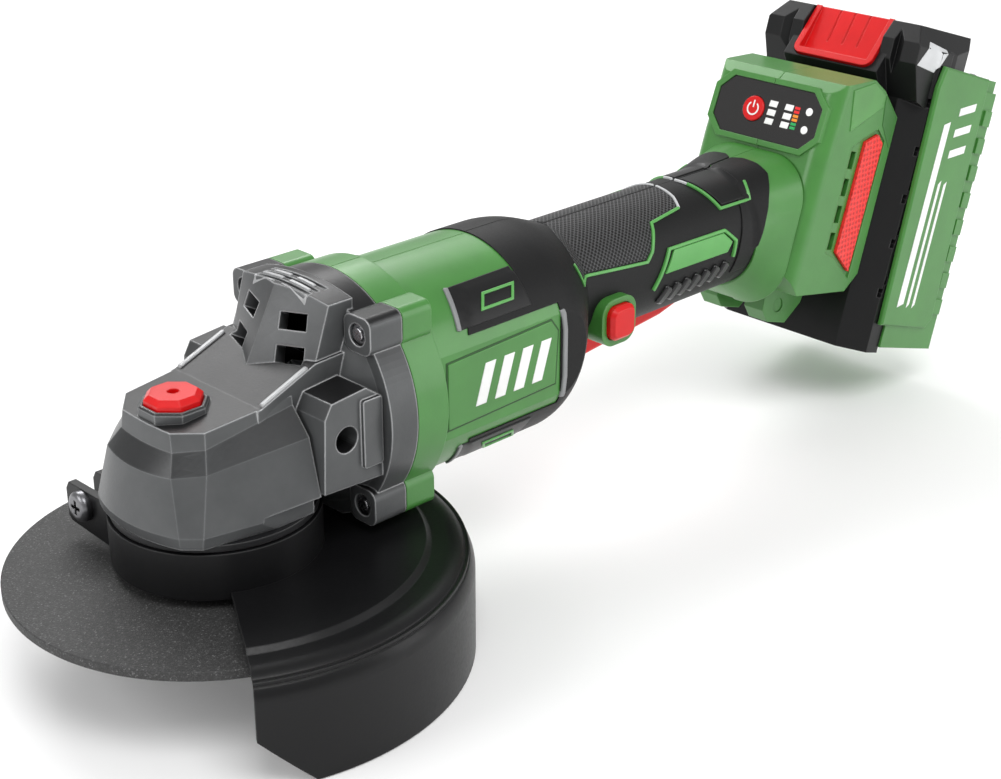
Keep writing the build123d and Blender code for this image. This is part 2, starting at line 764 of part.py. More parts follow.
guard_top = 18.4
bead = 1.5
with BuildPart() as guard_shell:
    with BuildSketch(radial_plane(guard_from)) as guard_section:
        with BuildLine():
            Polyline(
                (band_outer, guard_top), (61, guard_top), (62.6, guard_top - bead),
                (guard_r, guard_top - bead),
                (guard_r, guard_low), (guard_r - guard_t, guard_low),
                (guard_r - guard_t, guard_top - bead - guard_t), (62.0, guard_top - bead - guard_t),
                (60.4, guard_top - guard_t), (band_outer, guard_top - guard_t), close=True,
            )
        make_face()
        fillet(guard_section.vertices().group_by(Axis.Y)[-2].sort_by(Axis.X)[-1], 8.0)
        fillet(guard_section.vertices().group_by(Axis.Y)[1].sort_by(Axis.X)[-1], 6.2)
    revolve(axis=Axis.Z, revolution_arc=guard_sweep)
    for angle, side in ((guard_from, 1), (guard_from + guard_sweep, -1)):
        a = radians(angle)
        wall_face = Plane(origin=(0, 0, 0), x_dir=(-sin(a), cos(a), 0), z_dir=(cos(a), sin(a), 0))
        with BuildSketch(wall_face.offset(55)):
            with BuildLine():
                Polyline(
                    (-2 * side, -2), (0, -2), (side * 16, guard_low - 0.2), (-2 * side, guard_low - 0.2),
                    close=True,
                )
            make_face()
        extrude(amount=30, mode=Mode.SUBTRACT)
save(guard_shell, "guard_shell")

screw_head_r = 4.8
with BuildPart() as guard_clamp_screw:
    with BuildSketch(Plane.YZ.offset(front_ear_x)):
        with Locations((clamp_y, clamp_z)):
            Circle(screw_head_r)
    extrude(amount=-2.9)
    fillet(guard_clamp_screw.edges().sort_by(Axis.X)[0], 1.8)
    with BuildSketch(Plane.YZ.offset(front_ear_x)):
        with Locations((clamp_y, clamp_z)):
            Circle(2.4)
    extrude(amount=21)
    with BuildSketch(Plane.YZ.offset(front_ear_x - 2.9)):
        with Locations((clamp_y, clamp_z)):
            Rectangle(4.6, 1.1)
            Rectangle(1.1, 4.6)
    extrude(amount=1.8, mode=Mode.SUBTRACT)
save(guard_clamp_screw, "guard_clamp_screw")

with BuildPart() as guard_clamp_nut:
    with BuildSketch(Plane.YZ.offset(rear_ear_x + ear_t)):
        with Locations((clamp_y, clamp_z)):
            RegularPolygon(3.6, 6, major_radius=False)
            Circle(2.41, mode=Mode.SUBTRACT)
    extrude(amount=4.0)
save(guard_clamp_nut, "guard_clamp_nut")

# ---- motor housing, handle and foot ----------------------------------------------------
# Stations of the rear shoulder, where the barrel runs into the handle: x, centre height, radius.
shoulder = [
    (barrel_rear, motor_z, barrel_r), (117.5, 54.7, 33.9), (122.5, 55.9, 31.8),
    (127.0, 57.9, 28.4), (131.0, 60.2, 24.6), (handle_front, handle_z, handle_r),
]
cap_x = 101.0                # the soft cap starts here on top of the barrel
cap_side_x = 111.0           # and here on its flat sides
proud = 0.4                  # the soft cover stands off the plastic by this much
window_x = 73.0
window_low = 17.0
window_high = 27.5
seam = 0.12
foot_up = Vector(tilt_sin, 0, tilt_cos)
foot_profile = [
    (0, 24), (0, 83), (-12, 91.5), (-20, 94.5), (-36, 90.5), (-39.5, 86.5), (-41.5, 64), (-43, 21),
    (-36, 14), (-6, 17),
]
rail_low = 25.7
rail_half = 22.0
stem_half = 20.0
rail_depth = 8.0
lip = 2.5


def tube_form(inset):
    """Barrel, shoulder and handle, drawn in by inset from the plastic's own outer surface."""
    with BuildPart() as form:
        with BuildSketch(across_motor(barrel_front)):
            Circle(barrel_r - inset)
        extrude(amount=barrel_rear - barrel_front)
        for x, height, radius in shoulder:
            with BuildSketch(Plane(origin=(x, 0, height), x_dir=(0, 1, 0), z_dir=(1, 0, 0))):
                Circle(radius - inset)
        loft()
        with BuildSketch(across_handle(handle_front)):
            Circle(handle_r - inset)
        extrude(amount=handle_rear + 14 - handle_front)
        with BuildSketch(Plane.XY):
            with Locations((150, 0)):
                Rectangle(260, 2 * (barrel_flat - inset))
        extrude(amount=120, mode=Mode.INTERSECT)
    return form


def foot_form(inset):
    """The leaning battery foot, drawn in by inset."""
    with BuildPart() as form:
        with BuildSketch(foot_side):
            with BuildLine():
                Polyline(*foot_profile, close=True)
            make_face()
            if inset:
                offset(amount=-inset, mode=Mode.REPLACE)
        extrude(amount=foot_half - inset, both=True)
        uprights = form.edges().filter_by(lambda edge: abs((edge % 0.5).dot(foot_up)) > 0.95)
        fillet([edge for edge in uprights if foot_side.to_local_coords(edge @ 0.5).X < -30], 6.0 - inset / 2)
    return form


def neck_form(inset):
    """Flared collar that joins the round handle to the foot."""
    with BuildSketch(across_handle(handle_rear - 1)) as small:
        Circle(handle_r + 1.2 - inset)
    with BuildSketch(foot_face(-42.5)) as large:
        with Locations((0, 34.5)):
            RectangleRounded(2 * (25.5 - inset), 2 * (27.5 - inset), 17 - inset)
    with BuildPart() as form:
        loft([small.sketch, large.sketch])
    return form


def window_bars():
    """Bars across the barrel that mark out the four side windows of the soft cover."""
    with BuildPart() as bars:
        for side in (1, -1):
            with BuildSketch(Plane(origin=(0, 0, motor_z), x_dir=(1, 0, 0), z_dir=(0, -1, 0))):
                with BuildLine():
                    Polyline(
                        (window_x, side * window_low), (window_x + 5, side * window_high),
                        (cap_x + 1, side * window_high), (cap_x + 1, side * window_low), close=True,
                    )
                make_face()
            extrude(amount=50, both=True)
    return bars


with BuildPart() as cover_reach:
    with BuildSketch(Plane.XY):
        with Locations(((cap_x + handle_rear) / 2, 0)):
            Rectangle(handle_rear - cap_x, 120)
    extrude(amount=150)
    with BuildSketch(Plane(origin=(0, 0, motor_z), x_dir=(1, 0, 0), z_dir=(0, -1, 0))):
        with Locations(((cap_x + cap_side_x) / 2 - 1, 0)):
            Rectangle(cap_side_x - cap_x + 2, 2 * window_low)
    extrude(amount=60, both=True, mode=Mode.SUBTRACT)
    add(window_bars().part)

with BuildPart() as soft_cover:
    add(tube_form(-proud).part)
    add(tube_form(skin).part, mode=Mode.SUBTRACT)
    add(cover_reach.part, mode=Mode.INTERSECT)

# openings through the handle: trigger slot and lock-off button
trigger_front = 139.0
trigger_rear = 207.0
trigger_half = 7.0
trigger_slot_z = 51.0
pivot_x = 203.0
pivot_z = 47.5
pivot_r = 1.5
pivot_half = 10.0
lock_off_x = 146.0
lock_off_z = 53.5
lock_off_size = 11.6
button_clear = 0.25
lock_off_hole = lock_off_size + 2 * button_clear
display_from = Vector(*in_foot(-41.5, 64))
display_to = Vector(*in_foot(-39.5, 86.5))
display_up = (display_to - display_from).normalized()
display_out = Vector(0, 1, 0).cross(display_up) * -1
display_plane = Plane(
    origin=display_from + display_up * 11.4, x_dir=(0, -1, 0), z_dir=display_out
)
lens_w = 46.0
lens_h = 20.4
lens_cut = 5.2
frame_rise = 1.2
power_y = -6.0               # along the display's own x, which is -Y
power_r = 4.6
vent_depth = -21.5
vent_heights = (35.0, 45.0, 55.0, 65.0)
recess_outline = [
    (-24.4, 69.6), (-18.6, 73.4), (-10.2, 77.6), (-4.4, 73.8), (-5.8, 21.8), (-19.2, 29.2), (-24.4, 30.6),
]
recess_t = 0.7
strip_deep = 1.0
strip_outline = [(-17.1, 72.3), (-10, 75.9), (-5.8, 72.9), (-7.2, 24.3), (-18.3, 31.0)]
lanyard_outline = [(-37, 18), (-35.5, 5), (-31, 1), (-20, 1), (-13, 9), (-11, 20)]
lanyard_near = 6.5
lanyard_far = 15.0
lanyard_depth = -26.5
lanyard_height = 7.5
lanyard_pin_r = 2.6


def cut_corner_rectangle(width, height, cut):
    """Rectangle with its four corners cut off straight."""
    w, h = width / 2, height / 2
    with BuildSketch() as shape:
        with BuildLine():
            Polyline(
                (-w + cut, -h), (w - cut, -h), (w, -h + cut), (w, h - cut),
                (w - cut, h), (-w + cut, h), (-w, h - cut), (-w, -h + cut), close=True,
            )
        make_face()
    return shape.sketch


with BuildPart() as handle_openings:
    with BuildSketch(Plane.XY.offset(28)):
        with Locations(((trigger_front + trigger_rear) / 2, 0)):
            Rectangle(trigger_rear - trigger_front + 2.2, 2 * trigger_half + 0.8)
    extrude(amount=trigger_slot_z - 28)
    with BuildSketch(Plane.XZ.offset(8)):
        with Locations((lock_off_x, lock_off_z)):
            RectangleRounded(lock_off_hole, lock_off_hole, 3.6)
    extrude(amount=30)

with BuildPart() as shoe_pocket:
    with BuildSketch(foot_section(rail_low)):
        with Locations((-rail_depth / 2 - lip / 2 + 0.05, 0)):
            Rectangle(rail_depth - lip + 0.4, 2 * rail_half + 0.6)
        Rectangle(2 * lip + 0.6, 2 * stem_half + 0.6)
    extrude(amount=90)

# hollow of the foot, behind the wall that carries the battery
with BuildPart() as foot_room:
    add(foot_form(wall).part)
    with BuildSketch(foot_section(0)):
        with Locations((-6, 0)):
            Rectangle(10.4, 80)
    extrude(amount=120, mode=Mode.SUBTRACT)

boss_r = 3.8
boss_hole_r = 1.6
boss_head_r = 3.3
barrel_bosses = [(109.6, 76.6), (109.6, 31.8)]
handle_bosses = [(159.0, 75.0), (196.0, 75.0)]
foot_bosses = [in_foot(-34, 25)[::2], in_foot(-22, 86)[::2]]
boss_spots = barrel_bosses + handle_bosses + foot_bosses
screw_seat_y = 9.0

with BuildPart() as housing:
    add(tube_form(0).part)
    with BuildSketch(across_motor(barrel_front)):
        Circle(ring_r)
    extrude(amount=barrel_ring_rear - barrel_front)
    with BuildSketch(across_motor(barrel_front)):
        with Locations(*corner_spots()):
            RectangleRounded(ear, ear, 3)
    extrude(amount=11)
    with BuildSketch(across_motor(barrel_ring_rear)):
        Circle(ring_r)
    with BuildSketch(across_motor(barrel_ring_rear + 4)):
        Circle(barrel_flat)
    loft()
    add(neck_form(0).part)
    add(foot_form(0).part)
    with BuildSketch(foot_side):
        with BuildLine():
            Polyline(*lanyard_outline, close=True)
        make_face()
    extrude(amount=lanyard_far, both=True)
    with BuildSketch(display_plane.offset(-1)):
        add(cut_corner_rectangle(lens_w + 4.4, lens_h + 4.4, lens_cut + 1))
    extrude(amount=1 + frame_rise)
    # hollow
    with BuildSketch(across_motor(barrel_front)):
        Circle(30.7)
    extrude(amount=2.4, mode=Mode.SUBTRACT)
    add(tube_form(skin + wall).part, mode=Mode.SUBTRACT)
    add(foot_room.part, mode=Mode.SUBTRACT)
    # screw bosses, rings that hold the stator and the seat of the rear bearing
    for spots, reach in ((barrel_bosses, 22.6), (handle_bosses, 12.6), (foot_bosses, 27.0)):
        with BuildSketch(Plane.XZ):
            with Locations(*spots):
                Circle(boss_r)
        extrude(amount=reach, both=True)
    # wall behind the lock-off spring
    with BuildSketch(Plane.XZ.offset(3.0)):
        with Locations((lock_off_x, 65.0)):
            Rectangle(12, 29)
    extrude(amount=2.0)
    for x in (stator_x + 2, stator_x + stator_len - 4):
        with BuildSketch(across_motor(x)):
            Circle(barrel_r - skin - wall + 0.5)
            Circle(stator_r + running, mode=Mode.SUBTRACT)
        extrude(amount=2)
    with BuildSketch(across_motor(rear_bearing_x)):
        Circle(29.6)
        Circle(9.5, mode=Mode.SUBTRACT)
    extrude(amount=2.4)
    with BuildSketch(across_motor(rear_bearing_x)):
        Circle(12.5)
        Circle(9.5, mode=Mode.SUBTRACT)
    extrude(amount=rear_bearing_w + 0.4)
    with BuildSketch(Plane.XZ):
        with Locations(*boss_spots):
            Circle(boss_hole_r)
    extrude(amount=11, both=True, mode=Mode.SUBTRACT)
    with BuildSketch(Plane.XZ.offset(-screw_seat_y)):
        with Locations(*boss_spots):
            Circle(boss_head_r)
    extrude(amount=-40, mode=Mode.SUBTRACT)
    with BuildSketch(Plane.XZ):
        with Locations((pivot_x, pivot_z)):
            Circle(pivot_r)
    extrude(amount=pivot_half, both=True, mode=Mode.SUBTRACT)
    # level underside of the front ring
    with BuildSketch(Plane.XY.offset(ring_low)):
        with Locations((barrel_front, 0)):
            Rectangle(60, 120)
    extrude(amount=-30, mode=Mode.SUBTRACT)
    add(soft_cover.part, mode=Mode.SUBTRACT)
    add(shoe_pocket.part, mode=Mode.SUBTRACT)
    add(handle_openings.part, mode=Mode.SUBTRACT)
    with BuildSketch(display_plane.offset(frame_rise - 1.8)):
        add(cut_corner_rectangle(lens_w + 0.2, lens_h + 0.2, lens_cut))
    extrude(amount=4, mode=Mode.SUBTRACT)
    with BuildSketch(display_plane.offset(-8)):
        add(cut_corner_rectangle(lens_w - 4, lens_h - 4, lens_cut - 1))
    extrude(amount=12, mode=Mode.SUBTRACT)
    # lanyard gap and pin hole, side vents, red strip seats
    with BuildSketch(foot_section(-2)):
        with Locations((-24, 0)):
            Rectangle(40, 2 * lanyard_near)
    extrude(amount=15.6, mode=Mode.SUBTRACT)
    with BuildSketch(foot_side):
        with Locations((lanyard_depth, lanyard_height)):
            Circle(lanyard_pin_r + 0.05)
    extrude(amount=20, both=True, mode=Mode.SUBTRACT)
    for height in vent_heights:
        with BuildSketch(foot_side):
            with Locations((vent_depth, height)):
                Rectangle(3.0, 6.4)
        extrude(amount=40, both=True, mode=Mode.SUBTRACT)
    for side in (-1, 1):
        for outline, deep in ((recess_outline, recess_t), (strip_outline, strip_deep)):
            with BuildSketch(foot_side.offset(side * (foot_half - deep))):
                with BuildLine():
                    Polyline(*outline, close=True)
                make_face()
            extrude(amount=side * 3, mode=Mode.SUBTRACT)
    with BuildSketch(across_motor(barrel_front)):
        with Locations(*corner_spots()):
            Circle(2.1)
    extrude(amount=9, mode=Mode.SUBTRACT)


def half_box(side):
    """Everything on one side of the seam."""
    with BuildPart() as box:
        with BuildSketch(Plane.XY.offset(-60)):
            with Locations((180, side * (seam + 50))):
                Rectangle(500, 100)
        extrude(amount=260)
    return box.part


for side, name in ((-1, "left"), (1, "right")):
    with BuildPart() as half:
        add(housing.part)
        add(half_box(side), mode=Mode.INTERSECT)
    save(half, f"housing_{name}")
    with BuildPart() as cover_half:
        add(soft_cover.part)
        add(handle_openings.part, mode=Mode.SUBTRACT)
        with BuildSketch(Plane.XZ.offset(-screw_seat_y)):
            with Locations(*boss_spots):
                Circle(boss_head_r)
        extrude(amount=-40, mode=Mode.SUBTRACT)
        add(half_box(side), mode=Mode.INTERSECT)
    save(cover_half, f"soft_grip_{name}")

with BuildPart() as housing_screws:
    with BuildSketch(Plane.XZ.offset(-screw_seat_y)):
        with Locations(*boss_spots):
            Circle(boss_head_r - 0.3)
    extrude(amount=-2.6)
    with BuildSketch(Plane.XZ.offset(-screw_seat_y)):
        with Locations(*boss_spots):
            Circle(boss_hole_r - 0.1)
    extrude(amount=screw_seat_y + 10)
    with BuildSketch(Plane.XZ.offset(-screw_seat_y - 2.6)):
        with Locations(*boss_spots):
            RegularPolygon(1.5, 6)
    extrude(amount=1.6, mode=Mode.SUBTRACT)
save(housing_screws, "housing_screws")

# ---- controls --------------------------------------------------------------------------
trigger_profile = [
    (trigger_front, 46.0), (trigger_front, 37.0), (141, 34.6), (146, 34.2), (188, 38.4), (204, 42.4),
    (206.5, 45.0), (206.5, 49.5), (200, 50.0), (196, 46.5), (150, 43.5), (146, 46.0),
]
with BuildPart() as trigger:
    with BuildSketch(Plane.XZ):
        with BuildLine():
            Polyline(*trigger_profile, close=True)
        make_face()
        with Locations((pivot_x, pivot_z)):
            Circle(pivot_r + running, mode=Mode.SUBTRACT)
    extrude(amount=trigger_half, both=True)
    underside = trigger.edges().filter_by(Axis.Z, reverse=True).filter_by(Axis.Y, reverse=True)
    fillet([edge for edge in underside if (edge @ 0.5).Z < 41 and abs((edge @ 0.5).Y) > 6.5], 1.6)
save(trigger, "trigger")

with BuildPart() as trigger_pin:
    with BuildSketch(Plane.XZ):
        with Locations((pivot_x, pivot_z)):
            Circle(pivot_r)
    extrude(amount=pivot_half, both=True)
save(trigger_pin, "trigger_pin")

switch_low = 54.0
with BuildPart() as trigger_spring:
    add(coil_spring(Plane(origin=(160, 0, 45.0)), 2.6, 0.35, switch_low - 45.0 - 0.4, 5).part)
save(trigger_spring, "trigger_spring")

with BuildPart() as switch_module:
    with BuildSketch(Plane.XY.offset(switch_low)):
        with Locations((172, 0)):
            RectangleRounded(36, 17, 2)
    extrude(amount=16)
    with BuildSketch(Plane.XY.offset(switch_low)):
        with Locations((180, 0)):
            Circle(3)
    extrude(amount=-6.2)
    with BuildSketch(Plane.XY.offset(switch_low + 16)):
        with Locations((186, -5), (186, 5)):
            Rectangle(3, 5)
    extrude(amount=1.5)
save(switch_module, "switch_module")

lock_off_face = 27.6         # the button's outer face, from the middle plane
lock_off_inner = 9.2
with BuildPart() as lock_off_button:
    with BuildSketch(Plane.XZ.offset(lock_off_inner)):
        with Locations((lock_off_x, lock_off_z)):
            RectangleRounded(lock_off_size, lock_off_size, 3.4)
    extrude(amount=lock_off_face - lock_off_inner)
    chamfer(lock_off_button.faces().sort_by(Axis.Y)[0].edges(), 1.2)
    with BuildSketch(Plane.XZ.offset(lock_off_inner)):
        with Locations((lock_off_x, lock_off_z)):
            Circle(3.6)
    extrude(amount=6, mode=Mode.SUBTRACT)
save(lock_off_button, "lock_off_button")

spring_plane = Plane(
    origin=(lock_off_x, -(lock_off_inner + 5.4), lock_off_z), x_dir=(1, 0, 0), z_dir=(0, 1, 0)
)
lock_off_spring = coil_spring(spring_plane, 2.9, 0.4, 9.0, 5)
save(lock_off_spring, "lock_off_spring")

with BuildPart() as grip_core:
    add(tube_form(-proud).part)

with BuildPart() as lock_off_bezel:
    with BuildSketch(Plane.XZ.offset(14)):
        with Locations((lock_off_x, lock_off_z)):
            RectangleRounded(lock_off_size + 4.6, lock_off_size + 4.6, 5.4)
            RectangleRounded(lock_off_hole, lock_off_hole, 3.6, mode=Mode.SUBTRACT)
    extrude(amount=11)
    add(grip_core.part, mode=Mode.SUBTRACT)
save(lock_off_bezel, "lock_off_bezel")

# ---- display and power button --------------------------------------------------------------
with BuildPart() as display_lens:
    with BuildSketch(display_plane.offset(frame_rise - 1.8)):
        add(cut_corner_rectangle(lens_w, lens_h, lens_cut))
        with Locations((power_y, 0)):
            Circle(power_r + 0.15, mode=Mode.SUBTRACT)
    extrude(amount=1.4)
save(display_lens, "display_lens")

with BuildPart() as power_button:
    with BuildSketch(display_plane.offset(-2.6)):
        with Locations((power_y, 0)):
            Circle(power_r)
    extrude(amount=2.6 + frame_rise + 0.2)
    fillet(power_button.edges().filter_by(GeomType.CIRCLE).sort_by(Axis.X)[0], 0.5)
save(power_button, "power_button")

with BuildPart() as display_board:
    with BuildSketch(display_plane.offset(-6.4)):
        add(cut_corner_rectangle(lens_w - 6, lens_h - 5, lens_cut - 1))
    extrude(amount=1.6)
    with BuildSketch(display_plane.offset(-4.8)):
        with Locations((power_y, 0)):
            Rectangle(4.5, 4.5)
    extrude(amount=1.3)
save(display_board, "display_board")

with BuildPart() as controller_board:
    with BuildSketch(foot_face(-26)):
        with Locations((0, 47)):
            RectangleRounded(42, 52, 2)
    extrude(amount=2)
    with BuildSketch(foot_face(-24)):
        with Locations((-12, 60), (0, 60), (12, 60), (-12, 34), (0, 34), (12, 34)):
            Rectangle(9, 14)
    extrude(amount=3.2)
save(controller_board, "controller_board")

block_half = 17.0
block_h = 7.0
blade_rows = (-10.0, 0.0, 10.0)
blade_h = 11.0
contact_low = rail_low + block_h + 3.0
contact_h = 6.0
with BuildPart() as terminal_block:
    with BuildSketch(foot_section(rail_low)):
        with Locations((-5.4, 0)):
            Rectangle(5.0, 2 * block_half)
    extrude(amount=block_h)
save(terminal_block, "terminal_block")

with BuildPart() as terminal_blades:
    with BuildSketch(foot_section(rail_low + block_h)):
        with Locations(*[(-5.4, y) for y in blade_rows]):
            Rectangle(4.0, 0.8)
    extrude(amount=blade_h)
save(terminal_blades, "terminal_blades")

with BuildPart() as foot_strips:
    for side in (-1, 1):
        with BuildSketch(foot_side.offset(side * (foot_half - strip_deep))):
            with BuildLine():
                Polyline(*strip_outline, close=True)
            make_face()
            offset(amount=-0.15, mode=Mode.REPLACE)
        extrude(amount=side * 1.5)
save(foot_strips, "foot_strips")

with BuildPart() as lanyard_pin:
    with BuildSketch(foot_side.offset(lanyard_far - 0.4)):
        with Locations((lanyard_depth, lanyard_height)):
            Circle(lanyard_pin_r)
    extrude(amount=-2 * (lanyard_far - 0.4))
save(lanyard_pin, "lanyard_pin")

# ---- battery pack -----------------------------------------------------------------------
pack_front = 0.3
pack_low = -4.5
case_low = -2.4              # underside of the green case
pack_top = 117.0
green_from = 15.5
body_half = 35.2
panel_half = 37.5
pack_back = 55.0
shell_t = 2.4
end_cap_low = 99.2               # the black end cap sits above the green case
end_cap_back = 36.0
cell_r = 9.1
cell_half = 32.5
cell_depths = (23.0, 42.0)
cell_low = 12.3
cell_pitch = 19.0
cell_spots = [(depth, cell_low + cell_pitch * step) for depth in cell_depths for step in range(5)]
board_depth = 8.2
notch_depth = 8.6
notch_heights = (21, 40, 57, 75, 93)

front_plan = [
    (pack_front, -26), (8, -body_half), (green_from, -body_half), (green_from, body_half), (8, body_half),
    (pack_front, 26),
]
end_cap_plan = [
    (green_from - 1, -33.5), (20, -34.2), (30, -32.5), (end_cap_back, -28), (end_cap_back, 28),
    (30, 32.5), (20, 34.2), (green_from - 1, 33.5),
]
cheek_half = 34.2
cheek_profile = [
    (green_from, 86), (pack_front, 90), (-6.7, 103), (-6.7, 110.4), (-2.4, pack_top), (green_from, pack_top),
]
slant_low = Vector(-10.5, 97.4)
slant_high = Vector(0.0, pack_top)
slant = (slant_high - slant_low).normalized()
inward = Vector(slant.Y, -slant.X)
head_profile = [
    (green_from, 85), (pack_front, 85), (slant_low.X, slant_low.Y), (slant_high.X, slant_high.Y),
    (green_from, pack_top),
]


def on_slant(along, deep):
    """Point of the pack's slanted face: distance up the slant, then depth into the pack."""
    spot = slant_low + slant * along + inward * deep
    return (spot.X, spot.Y)


latch_half = 17.5
head_half = 21.0
latch_from = 0.9
latch_to = 22.0
latch_in = 6.5
latch_proud = 1.2
latch_corner = 3.6
latch_room = 10.4
latch_middle = Vector(*in_foot(*on_slant((latch_from + latch_to) / 2, 0)))
latch_in_dir = (Vector(*in_foot(*on_slant(0, 1))) - Vector(*in_foot(*on_slant(0, 0)))).normalized()
# Local x is +Y, local y runs down the slant and the normal points out of the pack.
latch_plane = Plane(origin=latch_middle, x_dir=(0, 1, 0), z_dir=latch_in_dir * -1)


def latch_face(margin):
    """Front view of the latch, grown by margin, with its two lower corners rounded."""
    wide = latch_half + margin
    tall = (latch_to - latch_from) / 2 + margin
    with BuildSketch() as face:
        with BuildLine():
            Polyline((-wide, -tall), (wide, -tall), (wide, tall), (-wide, tall), close=True)
        make_face()
        fillet(face.vertices().group_by(Axis.Y)[-1], latch_corner + margin)
    return face.sketch


with BuildPart() as battery_upper_case:
    with BuildSketch(foot_section(pack_low)):
        with BuildLine():
            Polyline(*front_plan, close=True)
        make_face()
    extrude(amount=pack_top - pack_low)
    with BuildSketch(foot_side):
        with BuildLine():
            Polyline(*head_profile, close=True)
        make_face()
    extrude(amount=head_half, both=True)
    # cheeks on both sides of the latch, with a sloping channel between
    with BuildSketch(foot_side):
        with BuildLine():
            Polyline(*cheek_profile, close=True)
        make_face()
    extrude(amount=cheek_half, both=True)
    with BuildSketch(foot_section(86)):
        for side in (-1, 1):
            with BuildLine():
                Polyline(
                    (-20, side * head_half), (-4.0, side * (head_half + 2.2)),
                    (-6.8, side * (head_half + 6.2)), (-20, side * (head_half + 6.4)), close=True,
                )
            make_face()
    extrude(amount=40, mode=Mode.SUBTRACT)
    with BuildSketch(foot_section(end_cap_low)):
        with BuildLine():
            Polyline(*end_cap_plan, close=True)
        make_face()
    extrude(amount=pack_top - end_cap_low)
    # top corners of the end cap, sloped at the sides
    with BuildSketch(foot_face(-30)):
        with BuildLine():
            Polyline(
                (29.6, pack_top + 1), (29.6, pack_top), (34.3, 109.5), (40, 109.5), (40, pack_top + 1),
                close=True,
            )
        make_face()
        mirror(about=Plane.YZ)
    extrude(amount=90, mode=Mode.SUBTRACT)
    # rails that ride in the foot
    with BuildSketch(foot_section(rail_low + 0.4)):
        with Locations((-rail_depth / 2 - lip / 2, 0)):
            Rectangle(rail_depth - lip - 0.2, 2 * rail_half)
        with Locations((-1.2, 0)):
            Rectangle(4.4, 2 * stem_half)
    extrude(amount=58.5)
    # room for the terminal block, its blades and the contacts
    with BuildSketch(foot_section(rail_low)):
        with Locations((-5.5, 0)):
            Rectangle(5.7, 2 * block_half + 1)
    extrude(amount=block_h + 1.2, mode=Mode.SUBTRACT)
    with BuildSketch(foot_section(rail_low)):
        with Locations(*[(-5.4, y) for y in blade_rows]):
            Rectangle(4.7, 1.8)
    extrude(amount=block_h + blade_h + 2.4, mode=Mode.SUBTRACT)
    with BuildSketch(foot_section(contact_low - 0.6)):
        with Locations(*[(-1.4, y) for y in blade_rows]):
            Rectangle(12.8, 3.2)
    extrude(amount=contact_h + 1.2, mode=Mode.SUBTRACT)
    # hollows for the cells, in the front and in the end cap
    with BuildSketch(foot_section(2.8)):
        with Locations((8.4, 0)):
            Rectangle(9, 54)
        with Locations((14.4, 0)):
            Rectangle(3.2, 2 * (cell_half + 0.6))
    extrude(amount=94.9, mode=Mode.SUBTRACT)
    with BuildSketch(foot_section(97.9)):
        with Locations((20.4, 0)):
            Rectangle(18.4, 54)
    extrude(amount=12, mode=Mode.SUBTRACT)
    with BuildSketch(latch_plane.offset(3)):
        add(latch_face(gap))
    extrude(amount=-3 - latch_room, mode=Mode.SUBTRACT)
    # stepped notches along both side edges
    with BuildSketch(foot_side):
        with Locations(*[(notch_depth + 0.7, height + 2.5) for height in notch_heights]):
            Rectangle(1.4, 3.4)
        with Locations(*[(notch_depth - 0.7, height - 2.5) for height in notch_heights]):
            Rectangle(1.4, 3.4)
        with Locations(*[(notch_depth, height) for height in notch_heights]):
            Rectangle(0.7, 5.0)
    extrude(amount=60, both=True, mode=Mode.SUBTRACT)
    with BuildSketch(foot_face(26)):
        with Locations((-25, 102), (25, 102)):
            Circle(1.55)
    extrude(amount=20, mode=Mode.SUBTRACT)
save(battery_upper_case, "battery_upper_case")

panel_outline = [(7.6, 96.6), (9.7, 104.7), (42.2, 103.7), (45.8, 9.8), (42.3, 6.1), (10.5, 6.7)]
with BuildPart() as battery_lower_case:
    with BuildSketch(foot_face(green_from + 0.1)):
        with Locations((0, (case_low + end_cap_low) / 2)):
            Rectangle(2 * body_half + 1.6, end_cap_low - case_low - 0.4)
    extrude(amount=pack_back - green_from - 0.1)
    chamfer(battery_lower_case.faces().sort_by(Axis.X)[-1].edges(), 3.4)
    with BuildSketch(foot_face(end_cap_back + gap)):
        with Locations((0, 99)):
            Rectangle(2 * body_half - 2, 9)
    extrude(amount=pack_back - 3 - end_cap_back)
    with BuildSketch(foot_face(green_from - 1)):
        with Locations((0, 50.3)):
            Rectangle(2 * (cell_half + 0.9), 94.6)
    extrude(amount=pack_back - shell_t - green_from + 1, mode=Mode.SUBTRACT)
    for side in (-1, 1):
        with BuildSketch(foot_side.offset(side * (body_half + 0.3))):
            with BuildLine():
                Polyline(*panel_outline, close=True)
            make_face()
        panel = extrude(amount=side * (panel_half - body_half - 0.3))
        chamfer(panel.faces().sort_by(Axis.Y)[0 if side > 0 else -1].edges(), 0.7)
    # serrated ribs along the rear edges
    with BuildSketch(foot_side):
        with Locations(*[(48.0, 15.0 + 10.6 * step) for step in range(8)]):
            Rectangle(5.0, 6.0)
    extrude(amount=panel_half - 0.4, both=True)
    with BuildSketch(foot_face(green_from - 1)):
        with Locations((0, 50.3)):
            Rectangle(2 * (cell_half + 0.9), 94.6)
    extrude(amount=pack_back - shell_t - green_from + 1, mode=Mode.SUBTRACT)
    with BuildSketch(foot_face(pack_back)):
        with Locations((-25, 102), (25, 102)):
            Circle(2.9)
    extrude(amount=-7, mode=Mode.SUBTRACT)
    with BuildSketch(foot_face(pack_back)):
        with Locations((-25, 102), (25, 102)):
            Circle(1.7)
    extrude(amount=-30, mode=Mode.SUBTRACT)
save(battery_lower_case, "battery_lower_case")

with BuildPart() as battery_screws:
    with BuildSketch(foot_face(pack_back - 7)):
        with Locations((-25, 102), (25, 102)):
            Circle(2.7)
    extrude(amount=2.4)
    with BuildSketch(foot_face(pack_back - 7)):
        with Locations((-25, 102), (25, 102)):
            Circle(1.5)
    extrude(amount=-20)
save(battery_screws, "battery_screws")

